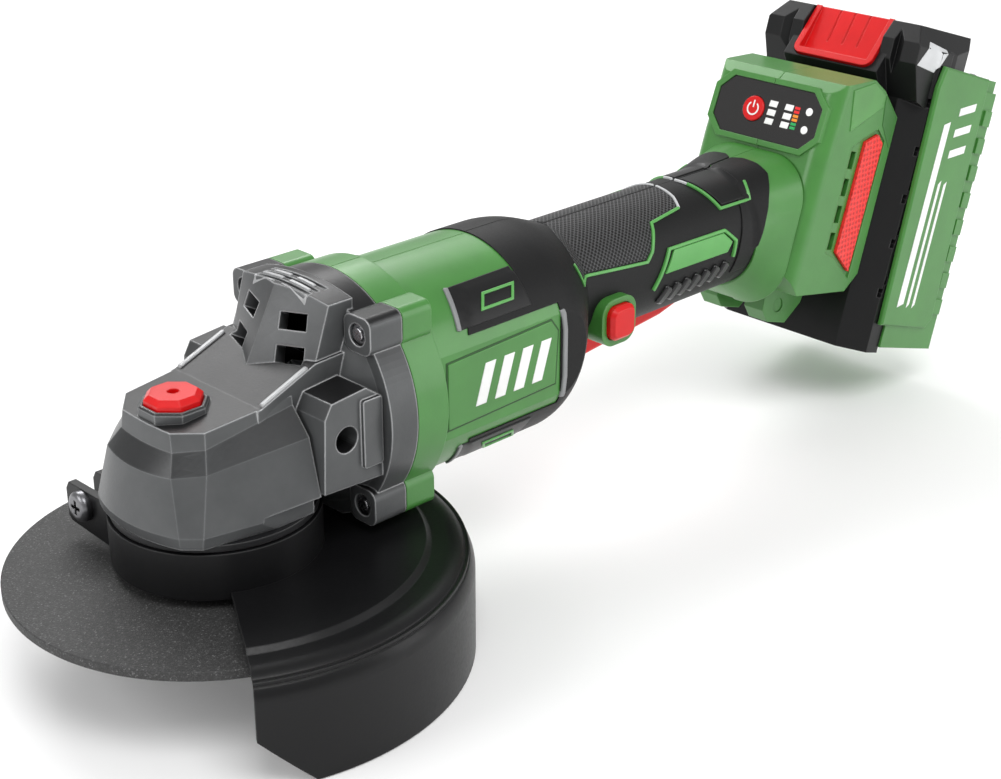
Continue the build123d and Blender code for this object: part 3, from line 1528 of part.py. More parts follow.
scoop_half = 15.2
scoop = [
    on_slant(latch_from + 2.4, -latch_proud - 0.1), on_slant(latch_from + 4.2, 1.9),
    on_slant(latch_to + 0.1, -0.5), on_slant(latch_to + 0.1, -latch_proud - 0.1),
]
groove = [
    on_slant(9.0, 0), on_slant(9.0, 1.8), on_slant(latch_to + 0.1, 0.0), on_slant(latch_to + 0.1, -1.0),
]
with BuildPart() as battery_latch:
    with BuildSketch(latch_plane.offset(latch_proud)):
        add(latch_face(0))
    extrude(amount=-latch_proud - latch_in)
    # thumb scoop, and three grooves in its floor
    with BuildSketch(foot_side):
        with BuildLine():
            Polyline(*scoop, close=True)
        make_face()
    extrude(amount=scoop_half, both=True, mode=Mode.SUBTRACT)
    for y in (-6.6, 0, 6.6):
        with BuildSketch(foot_side.offset(y)):
            with BuildLine():
                Polyline(*groove, close=True)
            make_face()
        extrude(amount=0.4, both=True, mode=Mode.SUBTRACT)
    with BuildSketch(latch_plane.offset(-latch_in)):
        Circle(4.0)
    extrude(amount=3.6, mode=Mode.SUBTRACT)
save(battery_latch, "battery_latch")

latch_spring = coil_spring(
    Plane(origin=latch_middle + latch_in_dir * (latch_in - 2.9), x_dir=(0, 1, 0), z_dir=latch_in_dir),
    3.0, 0.4, latch_room - latch_in + 2.7, 5,
)
save(latch_spring, "battery_latch_spring")

with BuildPart() as battery_cells:
    with BuildSketch(foot_side.offset(-cell_half)):
        with Locations(*cell_spots):
            Circle(cell_r)
    extrude(amount=2 * cell_half)
save(battery_cells, "battery_cells")

with BuildPart() as cell_holder:
    for side in (-1, 1):
        with BuildSketch(foot_side.offset(side * 28)):
            with Locations((32.6, 50.4)):
                Rectangle(38.4, 93.6)
            with Locations(*cell_spots):
                Circle(cell_r + running, mode=Mode.SUBTRACT)
        extrude(amount=side * 2.4)
save(cell_holder, "cell_holder")

with BuildPart() as battery_board:
    with BuildSketch(foot_face(board_depth)):
        with Locations((0, 50)):
            Rectangle(50, 86)
    extrude(amount=1.6)
    with BuildSketch(foot_face(board_depth + 1.6)):
        with Locations((-16, 74), (0, 74), (16, 74), (-12, 56), (12, 56)):
            Rectangle(8, 9)
    extrude(amount=2.2)
save(battery_board, "battery_board")

with BuildPart() as battery_contacts:
    with BuildSketch(foot_section(contact_low)):
        with Locations(*[(0.9, y + s * 1.0) for y in blade_rows for s in (-1, 1)]):
            Rectangle(14.4, 0.5)
        with Locations(*[(7.7, y) for y in blade_rows]):
            Rectangle(0.8, 2.5)
    extrude(amount=contact_h)
save(battery_contacts, "battery_contacts")
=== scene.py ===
from math import cos, hypot, pi, radians, sin

import bpy
import bmesh
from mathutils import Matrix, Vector
from mathutils.bvhtree import BVHTree
from mathutils.geometry import delaunay_2d_cdt


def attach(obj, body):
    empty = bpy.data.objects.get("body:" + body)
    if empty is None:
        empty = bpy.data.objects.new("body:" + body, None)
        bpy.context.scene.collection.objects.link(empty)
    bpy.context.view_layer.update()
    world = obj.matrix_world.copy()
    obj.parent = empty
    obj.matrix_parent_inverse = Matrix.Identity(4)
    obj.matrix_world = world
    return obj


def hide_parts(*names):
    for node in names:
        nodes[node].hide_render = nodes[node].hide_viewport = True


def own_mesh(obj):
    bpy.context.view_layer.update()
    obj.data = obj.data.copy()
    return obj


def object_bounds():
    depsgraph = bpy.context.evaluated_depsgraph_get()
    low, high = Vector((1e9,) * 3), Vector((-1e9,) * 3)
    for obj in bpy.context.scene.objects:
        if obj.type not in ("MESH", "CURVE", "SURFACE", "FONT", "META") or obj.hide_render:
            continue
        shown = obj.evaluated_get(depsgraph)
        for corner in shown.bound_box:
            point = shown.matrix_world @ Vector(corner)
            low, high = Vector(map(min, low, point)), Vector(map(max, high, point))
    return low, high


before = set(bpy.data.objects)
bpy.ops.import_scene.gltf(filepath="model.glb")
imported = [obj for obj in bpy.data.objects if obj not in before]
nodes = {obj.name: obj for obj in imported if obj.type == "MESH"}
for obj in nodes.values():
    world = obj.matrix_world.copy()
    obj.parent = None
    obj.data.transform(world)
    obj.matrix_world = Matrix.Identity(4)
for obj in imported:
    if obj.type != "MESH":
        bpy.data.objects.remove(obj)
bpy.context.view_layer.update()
mm = 0.001

# ---- camera, floor and light ---------------------------------------------------------
eye = Vector((-281.66, -403.24, 283.65)) * mm
aim = Vector((116.27, 0.0, 30.31)) * mm
camera_data = bpy.data.cameras.new("camera")
camera_data.lens = 67.667
camera_data.sensor_width = 36.0
camera_data.clip_start = 0.01
camera = bpy.data.objects.new("camera", camera_data)
camera.location = eye
camera.rotation_euler = (aim - eye).to_track_quat("-Z", "Y").to_euler()
bpy.context.collection.objects.link(camera)
bpy.context.scene.camera = camera
bpy.context.scene.view_settings.view_transform = "Standard"


def area_light(name, place, size, power, target=aim):
    """A soft rectangular lamp turned towards the tool."""
    data = bpy.data.lights.new(name, "AREA")
    data.shape = "RECTANGLE"
    data.size, data.size_y = size
    data.energy = power
    lamp = bpy.data.objects.new(name, data)
    lamp.location = place
    lamp.rotation_euler = (target - lamp.location).to_track_quat("-Z", "Y").to_euler()
    bpy.context.collection.objects.link(lamp)


area_light("key_light", Vector((-0.15, -0.55, 0.95)), (0.7, 0.5), 6.2)
area_light("left_light", Vector((-0.85, 0.25, 0.55)), (0.5, 0.6), 3.8)
area_light("right_light", Vector((0.75, -0.75, 0.35)), (0.35, 0.8), 2.8)
area_light("back_light", Vector((0.35, 0.75, 0.75)), (0.8, 0.3), 4.0)
area_light("backdrop_light", Vector((1.2, 1.6, 1.5)), (2.2, 2.2), 26.0, Vector((1.3, 1.9, 0.0)))
world = bpy.data.worlds.new("studio")
world.use_nodes = True
world.node_tree.nodes["Background"].inputs["Color"].default_value = (1.0, 1.0, 1.0, 1.0)
world.node_tree.nodes["Background"].inputs["Strength"].default_value = 0.5
bpy.context.scene.world = world


# ---- material nodes ------------------------------------------------------------------
class Shader:
    """A material and short ways to add nodes to it."""

    def __init__(self, name):
        self.material = bpy.data.materials.new(name)
        self.material.use_nodes = True
        self.tree = self.material.node_tree
        self.surface = self.tree.nodes["Principled BSDF"]

    def add(self, kind, **settings):
        node = self.tree.nodes.new(kind)
        for key, value in settings.items():
            setattr(node, key, value)
        return node

    def link(self, source, target):
        self.tree.links.new(source, target)

    def place(self):
        """Position on the object, in metres."""
        return self.add("ShaderNodeTexCoord").outputs["Object"]

    def noise(self, scale, detail=3.0, rough=0.5):
        node = self.add("ShaderNodeTexNoise")
        node.inputs["Scale"].default_value = scale
        node.inputs["Detail"].default_value = detail
        node.inputs["Roughness"].default_value = rough
        self.link(self.place(), node.inputs["Vector"])
        return node.outputs["Fac"]

    def ramp(self, value, stops):
        """Colour ramp through (position, colour) stops."""
        node = self.add("ShaderNodeValToRGB")
        while len(node.color_ramp.elements) < len(stops):
            node.color_ramp.elements.new(0.5)
        for element, (position, colour) in zip(node.color_ramp.elements, stops):
            element.position = position
            element.color = (*colour, 1.0)
        self.link(value, node.inputs["Fac"])
        return node.outputs["Color"]

    def math(self, operation, first, second=None, third=None):
        node = self.add("ShaderNodeMath", operation=operation)
        for socket, value in zip(node.inputs, (first, second, third)):
            if value is None:
                continue
            if isinstance(value, (int, float)):
                socket.default_value = value
            else:
                self.link(value, socket)
        return node.outputs[0]

    def mix(self, share, first, second):
        """Colour mixed from two colours or sockets."""
        node = self.add("ShaderNodeMix", data_type="RGBA")
        sockets = [s for s in node.inputs if s.enabled]
        for socket, value in zip(sockets, (share, first, second)):
            if isinstance(value, (int, float)):
                socket.default_value = value
            elif isinstance(value, tuple):
                socket.default_value = (*value, 1.0)
            else:
                self.link(value, socket)
        return [s for s in node.outputs if s.enabled][0]

    def soft_edge(self, radius):
        """Normal with its edges rounded by radius, in metres."""
        node = self.add("ShaderNodeBevel", samples=6)
        node.inputs["Radius"].default_value = radius
        return node.outputs["Normal"]

    def edge_mask(self, rounded, gain):
        """Near 1 where the surface bends over an edge."""
        true = self.add("ShaderNodeNewGeometry").outputs["True Normal"]
        dot = self.add("ShaderNodeVectorMath", operation="DOT_PRODUCT")
        self.link(rounded, dot.inputs[0])
        self.link(true, dot.inputs[1])
        bend = self.math("SUBTRACT", 1.0, dot.outputs["Value"])
        mask = self.math("MULTIPLY", bend, gain)
        return self.math("MINIMUM", mask, 1.0)

    def bump(self, height, distance, strength, normal=None):
        node = self.add("ShaderNodeBump")
        node.inputs["Distance"].default_value = distance
        node.inputs["Strength"].default_value = strength
        self.link(height, node.inputs["Height"])
        if normal is not None:
            self.link(normal, node.inputs["Normal"])
        self.link(node.outputs["Normal"], self.surface.inputs["Normal"])


def moulded(name, colour, rough, grain=2200.0, depth=0.00003, edge=None, radius=0.0006, mottle=0.08,
            metal=0.0, coat=0.0, specular=0.5):
    """Moulded, painted or ground surface with a fine grain, slight mottling, rounded edges and, where edge
    is given, a painted highlight along them.
    """
    shader = Shader(name)
    surface = shader.surface
    rounded = shader.soft_edge(radius)
    broad = shader.noise(55.0, 4.0, 0.6)
    dark = tuple(channel * (1.0 - mottle) for channel in colour)
    light = tuple(min(channel * (1.0 + mottle), 1.0) for channel in colour)
    tone = shader.ramp(broad, [(0.32, dark), (0.68, light)])
    # edge gives the colour and gain of a painted highlight along the rounded edges.
    if edge:
        highlight_colour, gain = edge
        tone = shader.mix(shader.edge_mask(rounded, gain), tone, highlight_colour)
    shader.link(tone, surface.inputs["Base Color"])
    fine = shader.noise(grain, 2.0, 0.6)
    shader.link(
        shader.math("MULTIPLY_ADD", fine, 0.16, max(rough - 0.08, 0.02)), surface.inputs["Roughness"]
    )
    shader.bump(fine, depth, 0.6, rounded)
    surface.inputs["Metallic"].default_value = metal
    surface.inputs["Coat Weight"].default_value = coat
    surface.inputs["Coat Roughness"].default_value = 0.15
    surface.inputs["Specular IOR Level"].default_value = specular
    return shader.material


# Each edge pair is the colour and gain of a painted highlight along the edges.
green = moulded("green_plastic", (0.05, 0.205, 0.035), 0.36, edge=((0.17, 0.42, 0.13), 1.2), coat=0.15)
green_line = moulded("green_line", (0.085, 0.34, 0.07), 0.34, edge=((0.3, 0.6, 0.25), 1.0))
green_dark = moulded("green_groove", (0.014, 0.07, 0.01), 0.5)
# A lighter and a darker copy of the green plastic: painted highlight on lit facets, painted shade on shaded
# ones.
painted_highlight_green = moulded("green_facet_painted_highlight", (0.07, 0.25, 0.05), 0.34, edge=((0.24, 0.5, 0.2), 1.2), coat=0.15)
painted_shade_green = moulded("green_painted_shade", (0.035, 0.155, 0.026), 0.42)
black_soft = moulded(
    "black_rubber", (0.006, 0.006, 0.0063), 0.5, 1500.0, 0.00005, edge=((0.06, 0.06, 0.06), 0.9),
    specular=0.22)
black_hard = moulded(
    "black_plastic", (0.008, 0.008, 0.0084), 0.36, edge=((0.09, 0.09, 0.09), 1.0), specular=0.25)
rib_black = moulded("rib_black", (0.008, 0.008, 0.0084), 0.24, coat=0.3, specular=0.3)
red = moulded(
    "red_plastic", (0.62, 0.004, 0.005), 0.34, edge=((0.80, 0.06, 0.05), 0.9), coat=0.1, specular=0.3)
guard_black = moulded(
    "guard_paint", (0.005, 0.005, 0.0055), 0.36, 900.0, 0.00003, edge=((0.09, 0.09, 0.09), 1.0),
    specular=0.25)
steel = moulded(
    "steel", (0.52, 0.52, 0.54), 0.28, 1800.0, 0.00002, edge=((0.85, 0.85, 0.86), 1.0), metal=1.0)
dark_steel = moulded(
    "dark_steel", (0.20, 0.20, 0.21), 0.32, 1800.0, 0.00002, edge=((0.5, 0.5, 0.5), 1.0), metal=1.0)
gear_steel = moulded("gear_steel", (0.38, 0.38, 0.40), 0.32, metal=1.0)
alloy = moulded(
    "cast_alloy", (0.008, 0.008, 0.009), 0.36, 900.0, 0.00006, edge=((0.15, 0.15, 0.15), 1.0), specular=0.35)
bronze = moulded("bronze", (0.55, 0.33, 0.12), 0.35, metal=1.0)
board = moulded("circuit_board", (0.02, 0.16, 0.05), 0.4)
# Light grey strips that stand for painted highlights along edges and facets.
painted_highlight_silver = moulded("silver_painted_highlight", (0.55, 0.56, 0.57), 0.32, edge=((0.9, 0.9, 0.9), 1.0))
# Grey strips that stand for a painted highlight along bevelled edges.
grey_bevel_highlight = moulded("grey_bevel_highlight", (0.22, 0.225, 0.23), 0.38, edge=((0.6, 0.6, 0.6), 1.0))
# Lighter copy of the cast paint, a painted highlight on the head's ribs and rims.
painted_cast_highlight = moulded(
    "painted_cast_highlight", (0.34, 0.345, 0.35), 0.34, 1400.0, 0.00005, edge=((0.75, 0.75, 0.76), 1.4), metal=0.3)
white = moulded("white_print", (0.86, 0.86, 0.85), 0.45)


def cast_paint():
    """Satin grey paint over a casting: darker above and lighter on its sides as painted shade and light, and
    bright along its edges as a painted highlight.
    """
    shader = Shader("cast_paint")
    rounded = shader.soft_edge(0.0009)
    normal = shader.add("ShaderNodeNewGeometry").outputs["True Normal"]
    split = shader.add("ShaderNodeSeparateXYZ")
    shader.link(normal, split.inputs[0])
    # Painted shade: upward faces darker, sides lighter, chosen by the height of the true normal.
    upward_shade_share = shader.ramp(split.outputs["Z"], [(0.35, (0.0, 0.0, 0.0)), (0.75, (1.0, 1.0, 1.0))])
    mottled = shader.noise(70.0, 4.0, 0.6)
    side = shader.ramp(mottled, [(0.3, (0.075, 0.078, 0.08)), (0.7, (0.095, 0.098, 0.10))])
    shaded_top = shader.ramp(mottled, [(0.3, (0.009, 0.009, 0.0095)), (0.7, (0.014, 0.014, 0.0145))])
    tone = shader.mix(upward_shade_share, side, shaded_top)
    # Painted highlight along the edges.
    tone = shader.mix(shader.edge_mask(rounded, 2.4), tone, (0.78, 0.79, 0.80))
    shader.link(tone, shader.surface.inputs["Base Color"])
    fine = shader.noise(1400.0, 3.0, 0.65)
    shader.link(shader.math("MULTIPLY_ADD", fine, 0.2, 0.22), shader.surface.inputs["Roughness"])
    shader.bump(fine, 0.00006, 0.5, rounded)
    shader.surface.inputs["Metallic"].default_value = 0.2
    shader.surface.inputs["Specular IOR Level"].default_value = 0.3
    return shader.material


def abrasive():
    """Bonded grit: dark grains of several sizes with glints."""
    shader = Shader("abrasive")
    grains = shader.add("ShaderNodeTexVoronoi")
    grains.inputs["Scale"].default_value = 2600.0
    shader.link(shader.place(), grains.inputs["Vector"])
    split = shader.add("ShaderNodeSeparateColor")
    shader.link(grains.outputs["Color"], split.inputs[0])
    tone = shader.ramp(
        split.outputs[0],
        [(0.0, (0.02, 0.02, 0.02)), (0.6, (0.034, 0.034, 0.034)), (0.93, (0.06, 0.06, 0.06)),
         (1.0, (0.14, 0.14, 0.14))],
    )
    patches = shader.noise(120.0, 3.0)
    tone = shader.mix(shader.math("MULTIPLY", patches, 0.35), tone, (0.02, 0.02, 0.02))
    shader.link(tone, shader.surface.inputs["Base Color"])
    shader.bump(grains.outputs["Distance"], 0.00012, 0.8, shader.soft_edge(0.0003))
    shader.surface.inputs["Roughness"].default_value = 0.62
    return shader.material


def woven_grip():
    """Fine diamond mesh moulded into the grip, laid out in the patch's own coordinates."""
    shader = Shader("woven_grip")
    diagonal = 0.7071
    pitch = 1.25                       # millimetres between the strands
    split = shader.add("ShaderNodeSeparateXYZ")
    shader.link(shader.add("ShaderNodeTexCoord").outputs["UV"], split.inputs[0])
    along, across = split.outputs["X"], split.outputs["Y"]
    lanes = []
    for operation in ("ADD", "SUBTRACT"):
        lane = shader.math("MULTIPLY", shader.math(operation, along, across), diagonal / (pitch * mm))
        lanes.append(shader.math("PINGPONG", lane, 0.5))
    hole = shader.math("MULTIPLY", lanes[0], lanes[1])
    height = shader.ramp(hole, [(0.02, (1.0, 1.0, 1.0)), (0.12, (0.0, 0.0, 0.0))])
    # Painted shade darkens the holes and a painted highlight lightens the raised strands.
    tone = shader.ramp(
        hole, [(0.012, (0.07, 0.07, 0.072)), (0.06, (0.014, 0.014, 0.015)), (0.13, (0.002, 0.002, 0.002))])
    shader.link(tone, shader.surface.inputs["Base Color"])
    shader.surface.inputs["Roughness"].default_value = 0.4
    shader.surface.inputs["Specular IOR Level"].default_value = 0.25
    shader.bump(height, 0.0003, 0.9)
    return shader.material


def dimpled_red():
    """Red strip with a close pattern of round dimples."""
    shader = Shader("dimpled_red")
    cells = shader.add("ShaderNodeTexVoronoi")
    cells.inputs["Scale"].default_value = 520.0
    cells.inputs["Randomness"].default_value = 0.15
    shader.link(shader.place(), cells.inputs["Vector"])
    # Painted shade darkens the hollows of the dimples; the lighter rims between them are a painted
    # highlight.
    tone = shader.ramp(cells.outputs["Distance"], [(0.15, (0.45, 0.008, 0.008)), (0.5, (0.85, 0.03, 0.025))])
    shader.link(tone, shader.surface.inputs["Base Color"])
    shader.surface.inputs["Roughness"].default_value = 0.38
    shader.bump(cells.outputs["Distance"], 0.0003, 0.8, shader.soft_edge(0.0005))
    return shader.material


cast = cast_paint()
grit = abrasive()
woven = woven_grip()
dimples = dimpled_red()
glass_black = moulded("display_black", (0.012, 0.011, 0.011), 0.12, 3000.0, 0.000004, coat=0.6, mottle=0.03)

finishes = {
    "gear_housing": cast, "bearing_box": alloy, "lock_bezel": cast, "lock_button": red,
    "cutting_disc": grit, "guard_shell": guard_black, "guard_clamp_band": guard_black,
    "guard_clamp_screw": dark_steel, "guard_clamp_nut": dark_steel, "outer_flange_nut": dark_steel,
    "inner_flange": dark_steel, "housing_left": green, "housing_right": green, "soft_grip_left": black_soft,
    "soft_grip_right": black_soft, "lock_off_bezel": green, "lock_off_button": red, "trigger": red,
    "display_lens": glass_black, "power_button": red, "foot_strips": dimples, "lanyard_pin": green,
    "battery_upper_case": black_hard, "battery_lower_case": green, "battery_latch": red,
    "bevel_gear": gear_steel, "bevel_pinion": gear_steel, "battery_board": board, "display_board": board,
    "controller_board": board, "battery_contacts": bronze, "terminal_blades": bronze,
    "stator_windings": bronze, "spindle_top_bush": bronze, "cell_holder": black_hard,
    "switch_module": black_hard, "terminal_block": black_hard, "motor_baffle": black_hard,
    "cooling_fan": black_hard,
}
for name, node in nodes.items():
    node.data.materials.clear()
    node.data.materials.append(finishes.get(name, steel))


# ---- shapes that lie on the tool's own surface ---------------------------------------------
motor_z = 54.2
grip_z = 62.0
barrel_end = 112.0
grip_start = 135.0
clear_of_tool = 90.0        # rays start this far from the middle, outside every surface
above_tool = 140.0


def skin_tree(names):
    """Ray-cast tree over CAD nodes, in metres."""
    points, faces = [], []
    for name in names:
        mesh = nodes[name].data
        base = len(points)
        points.extend(vertex.co.copy() for vertex in mesh.vertices)
        faces.extend([base + index for index in polygon.vertices] for polygon in mesh.polygons)
    return BVHTree.FromPolygons(points, faces)


body_skin = skin_tree(["housing_left", "housing_right", "soft_grip_left", "soft_grip_right"])


def axis_height(x):
    """Height of the middle line of the barrel and handle."""
    share = min(max((x - barrel_end) / (grip_start - barrel_end), 0.0), 1.0)
    return motor_z + (grip_z - motor_z) * share


def wrapped(side):
    """Map of (x, angle): around the barrel or handle. Angle 0 faces sideways and 90 faces up."""
    def place(u, v, lift):
        outward = Vector((0.0, side * cos(radians(v)), sin(radians(v))))
        middle = Vector((u, 0.0, axis_height(u))) * mm
        hit = body_skin.ray_cast(middle + outward * clear_of_tool * mm, -outward)[0]
        return hit + outward * (lift * mm)
    return place


def sideways(side):
    """Map of (x, z): straight onto the flat side of the barrel."""
    def place(u, v, lift):
        outward = Vector((0.0, side, 0.0))
        hit = body_skin.ray_cast(Vector((u, side * clear_of_tool, v)) * mm, -outward)[0]
        return hit + outward * (lift * mm)
    return place


def from_above(skin):
    """Map of (x, y): straight down onto the tool."""
    def place(u, v, lift):
        hit = skin.ray_cast(Vector((u, v, above_tool)) * mm, Vector((0.0, 0.0, -1.0)))[0]
        return hit + Vector((0.0, 0.0, lift * mm))
    return place


def foot_flank(skin, side):
    """Map of (depth, height) in the leaning foot's own directions, straight onto one of its sides."""
    def place(u, v, lift):
        outward = Vector((0.0, side, 0.0))
        start = in_foot(u, v, side * clear_of_tool) * mm
        hit = skin.ray_cast(start, -outward)[0]
        return hit + outward * (lift * mm)
    return place


def on_plane(origin, along, across):
    """Map of (u, v) on a plane, in millimetres."""
    outward = along.cross(across)

    def place(u, v, lift):
        return (origin + along * u + across * v + outward * lift) * mm
    return place


def spaced(points, step, closed, stretch):
    """Outline with extra points so that none are further apart than step."""
    count = len(points)
    out = []
    for i in range(count if closed else count - 1):
        (x0, y0), (x1, y1) = points[i], points[(i + 1) % count]
        parts = max(1, int(hypot(x1 - x0, (y1 - y0) * stretch) / step + 0.5))
        out.extend((x0 + (x1 - x0) * k / parts, y0 + (y1 - y0) * k / parts) for k in range(parts))
    if not closed:
        out.append(points[-1])
    return out


def inside(x, y, outline):
    """True for a point within a closed outline."""
    found = False
    for (x0, y0), (x1, y1) in zip(outline, outline[1:] + outline[:1]):
        if (y0 > y) != (y1 > y) and x < (x1 - x0) * (y - y0) / (y1 - y0) + x0:
            found = not found
    return found


def finish_piece(name, mesh_data, material, body="body", edge=0.0):
    """Turn a bmesh into an object that rides on a body, with rounded edges."""
    mesh = bpy.data.meshes.new(name)
    bmesh.ops.recalc_face_normals(mesh_data, faces=mesh_data.faces)
    mesh_data.to_mesh(mesh)
    mesh_data.free()
    mesh.materials.append(material)
    piece = bpy.data.objects.new(name, mesh)
    bpy.context.collection.objects.link(piece)
    for polygon in mesh.polygons:
        polygon.use_smooth = True
    mesh.set_sharp_from_angle(angle=radians(35))
    if edge:
        bevel = piece.modifiers.new("rounding", "BEVEL")
        bevel.width = edge * mm
        bevel.segments = 2
        bevel.limit_method = "ANGLE"
        bevel.angle_limit = radians(40)
    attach(piece, body)
    return piece


def skirt(mesh_data, place, sunk, uv_of):
    """Close a sheet down into the surface below it along its free edges."""
    rim = [edge for edge in mesh_data.edges if len(edge.link_faces) == 1]
    lower = {}
    for edge in rim:
        for vertex in edge.verts:
            if vertex not in lower:
                u, v = uv_of[vertex]
                lower[vertex] = mesh_data.verts.new(place(u, v, sunk))
    for edge in rim:
        first, second = edge.verts
        mesh_data.faces.new((first, second, lower[second], lower[first]))


def patch(name, outline, place, lift, material, step=1.6, stretch=1.0, sunk=-0.5, edge=0.2, body="body"):
    """Raised panel with a given outline, following the surface under it."""
    border = spaced(outline, step, True, stretch)
    low_u, high_u = min(p[0] for p in border), max(p[0] for p in border)
    low_v, high_v = min(p[1] for p in border), max(p[1] for p in border)
    step_v = step / stretch
    loose = []
    u = low_u + step / 2
    while u < high_u:
        v = low_v + step_v / 2
        while v < high_v:
            if inside(u, v, border):
                near = min(hypot(u - p[0], (v - p[1]) * stretch) for p in border)
                if near > step * 0.45:
                    loose.append((u, v))
            v += step_v
        u += step
    points = [Vector((a, b * stretch)) for a, b in border + loose]
    made = delaunay_2d_cdt(points, [], [list(range(len(border)))], 1, 0.0001)
    data = bmesh.new()
    uv_of = {}
    corners = []
    for point in made[0]:
        u, v = point.x, point.y / stretch
        corner = data.verts.new(place(u, v, lift))
        uv_of[corner] = (u, v)
        corners.append(corner)
    for face in made[2]:
        data.faces.new([corners[index] for index in face])
    bmesh.ops.recalc_face_normals(data, faces=data.faces)
    layer = data.loops.layers.uv.new("along")
    for face in data.faces:
        for loop in face.loops:
            u, v = uv_of[loop.vert]
            loop[layer].uv = (u * mm, v * stretch * mm)
    skirt(data, place, sunk, uv_of)
    return finish_piece(name, data, material, body, edge)


def ribbon(name, points, width, place, lift, material, closed=False, step=1.4, stretch=1.0, sunk=-0.5,
           edge=0.2, body="body"):
    """Raised line of constant width along a path on the surface."""
    same_spot = 1e-6
    sharpest = 0.45             # keeps the outer corner of a tight bend from running far out
    path = [Vector((u, v * stretch)) for u, v in spaced(points, step, closed, stretch)]
    count = len(path)
    data = bmesh.new()
    uv_of = {}
    rows = []
    for i, point in enumerate(path):
        before = path[i - 1] if closed or i else point
        after = path[(i + 1) % count] if closed or i < count - 1 else point
        arriving, leaving = point - before, after - point
        first = (arriving if arriving.length > same_spot else leaving).normalized()
        second = leaving.normalized() if leaving.length > same_spot else first
        along = (first + second).normalized()
        normal = Vector((-along.y, along.x))
        reach = width / 2 / max(abs(normal.dot(Vector((-first.y, first.x)))), sharpest)
        row = []
        for side in (-1, 1):
            spot = point + normal * (reach * side)
            corner = data.verts.new(place(spot.x, spot.y / stretch, lift))
            uv_of[corner] = (spot.x, spot.y / stretch)
            row.append(corner)
        rows.append(row)
    for i in range(count if closed else count - 1):
        here, there = rows[i], rows[(i + 1) % count]
        data.faces.new((here[0], there[0], there[1], here[1]))
    bmesh.ops.recalc_face_normals(data, faces=data.faces)
    skirt(data, place, sunk, uv_of)
    return finish_piece(name, data, material, body, edge)


# ---- grip and barrel trim -----------------------------------------------------------------
grip_radius, barrel_radius = 21.4, 35.0
grip_stretch = grip_radius * pi / 180           # millimetres of surface per degree around the handle
barrel_stretch = barrel_radius * pi / 180
mesh_outline = [
    (190.4, 89.0), (189.6, 66.0), (187.6, 54.5), (172.4, 49.4), (170.8, 41.0), (167.2, 25.5), (163.8, 18.4),
    (150.0, 21.6), (134.3, 25.6), (131.2, 25.4), (129.4, 40.0), (130.4, 62.0), (136.2, 89.0),
]
mesh_border = [
    (190.6, 88.5), (190.2, 66.0), (188.4, 53.2), (172.6, 48.0), (171.4, 40.6), (167.4, 23.4), (164.0, 16.2),
    (150.0, 19.6), (134.3, 23.6), (129.6, 22.6), (127.8, 39.0), (129.4, 62.0), (135.4, 88.5),
]
upper_line = [(200.4, 88.5), (201.6, 76.0), (206.2, 39.4), (221.0, 38.6), (223.4, 56.0)]
upper_panel = [(202.4, 87.0), (203.4, 76.0), (207.6, 42.4), (219.6, 41.6), (221.4, 58.0), (221.4, 87.0)]
end_cap = [
    (218.0, 89.0), (231.5, 89.0), (234.0, 80.5), (234.4, 66.0), (233.8, 52.5), (228.7, 33.6), (225.0, 16.0),
    (221.9, -1.2), (217.6, -28.0), (210.0, -28.0), (212.0, 0.0), (216.0, 34.0),
]
plaque = [(172.4, 0.0), (177.6, 18.6), (203.4, 17.4), (207.6, 6.8), (204.8, -1.4)]
plaque_line = [(166.8, -12.0), (175.4, 20.6), (204.2, 19.4), (209.6, 6.8), (208.4, -8.4)]
window = [(73.6, 55.5), (100.4, 56.0), (100.4, 32.5), (70.2, 32.5)]
window_slot = [(81.4, 38.6), (84.4, 46.0), (97.0, 46.0), (94.0, 38.6)]
for side, tag in ((-1, "left"), (1, "right")):
    grip = wrapped(side)
    patch(f"grip_mesh_{tag}", mesh_outline, grip, 0.25, woven, 1.5, grip_stretch)
    ribbon(f"grip_mesh_line_{tag}", mesh_border[2:11], 1.0, grip, 0.75, green_line, False, 1.2, grip_stretch)
    # The silver strips here are painted highlights along the edges.
    ribbon(f"grip_mesh_highlight_{tag}", mesh_border[:3], 0.8, grip, 0.7, painted_highlight_silver, False, 1.2, grip_stretch)
    patch(f"grip_end_cap_{tag}", end_cap, grip, 0.45, black_soft, 1.5, grip_stretch)
    patch(f"grip_upper_panel_{tag}", upper_panel, grip, 0.5, black_hard, 1.5, grip_stretch)
    ribbon(f"grip_upper_line_{tag}", upper_line[1:], 1.0, grip, 0.8, green_line, False, 1.2, grip_stretch)
    ribbon(f"grip_upper_highlight_{tag}", upper_line[:2], 0.8, grip, 0.75, painted_highlight_silver, False, 1.2, grip_stretch)
    patch(f"grip_plaque_{tag}", plaque, grip, 0.7, green_line, 1.3, grip_stretch)
    ribbon(f"grip_plaque_line_{tag}", plaque_line, 1.1, grip, 0.95, green_line, False, 1.2, grip_stretch)
    for step in range(7):
        x = 172.4 + 5.0 * step
        rib = [(x, -32.0 + 0.9 * step), (x + 3.4, -14.5 + 0.5 * step)]
        ribbon(f"grip_rib_{tag}_{step}", rib, 4.3, grip, 1.2, rib_black, False, 1.2, grip_stretch, edge=0.9)
    for level, name in ((1, "upper"), (-1, "lower")):
        area = [(u, v * level) for u, v in window]
        patch(f"window_{name}_{tag}", area, grip, 0.35, black_hard, 1.6, barrel_stretch)
        # Grey strip along the window's slanted edge is a painted highlight on its bevel.
        ribbon(f"window_edge_highlight_{name}_{tag}", [area[0], area[3]], 1.6, grip, 0.75, grey_bevel_highlight, False, 1.2,
               barrel_stretch, edge=0.35)
        ring = [(u, v * level) for u, v in window_slot]
        ribbon(f"window_slot_{name}_{tag}", ring, 0.9, grip, 0.85, green_line, True, 1.2, barrel_stretch)

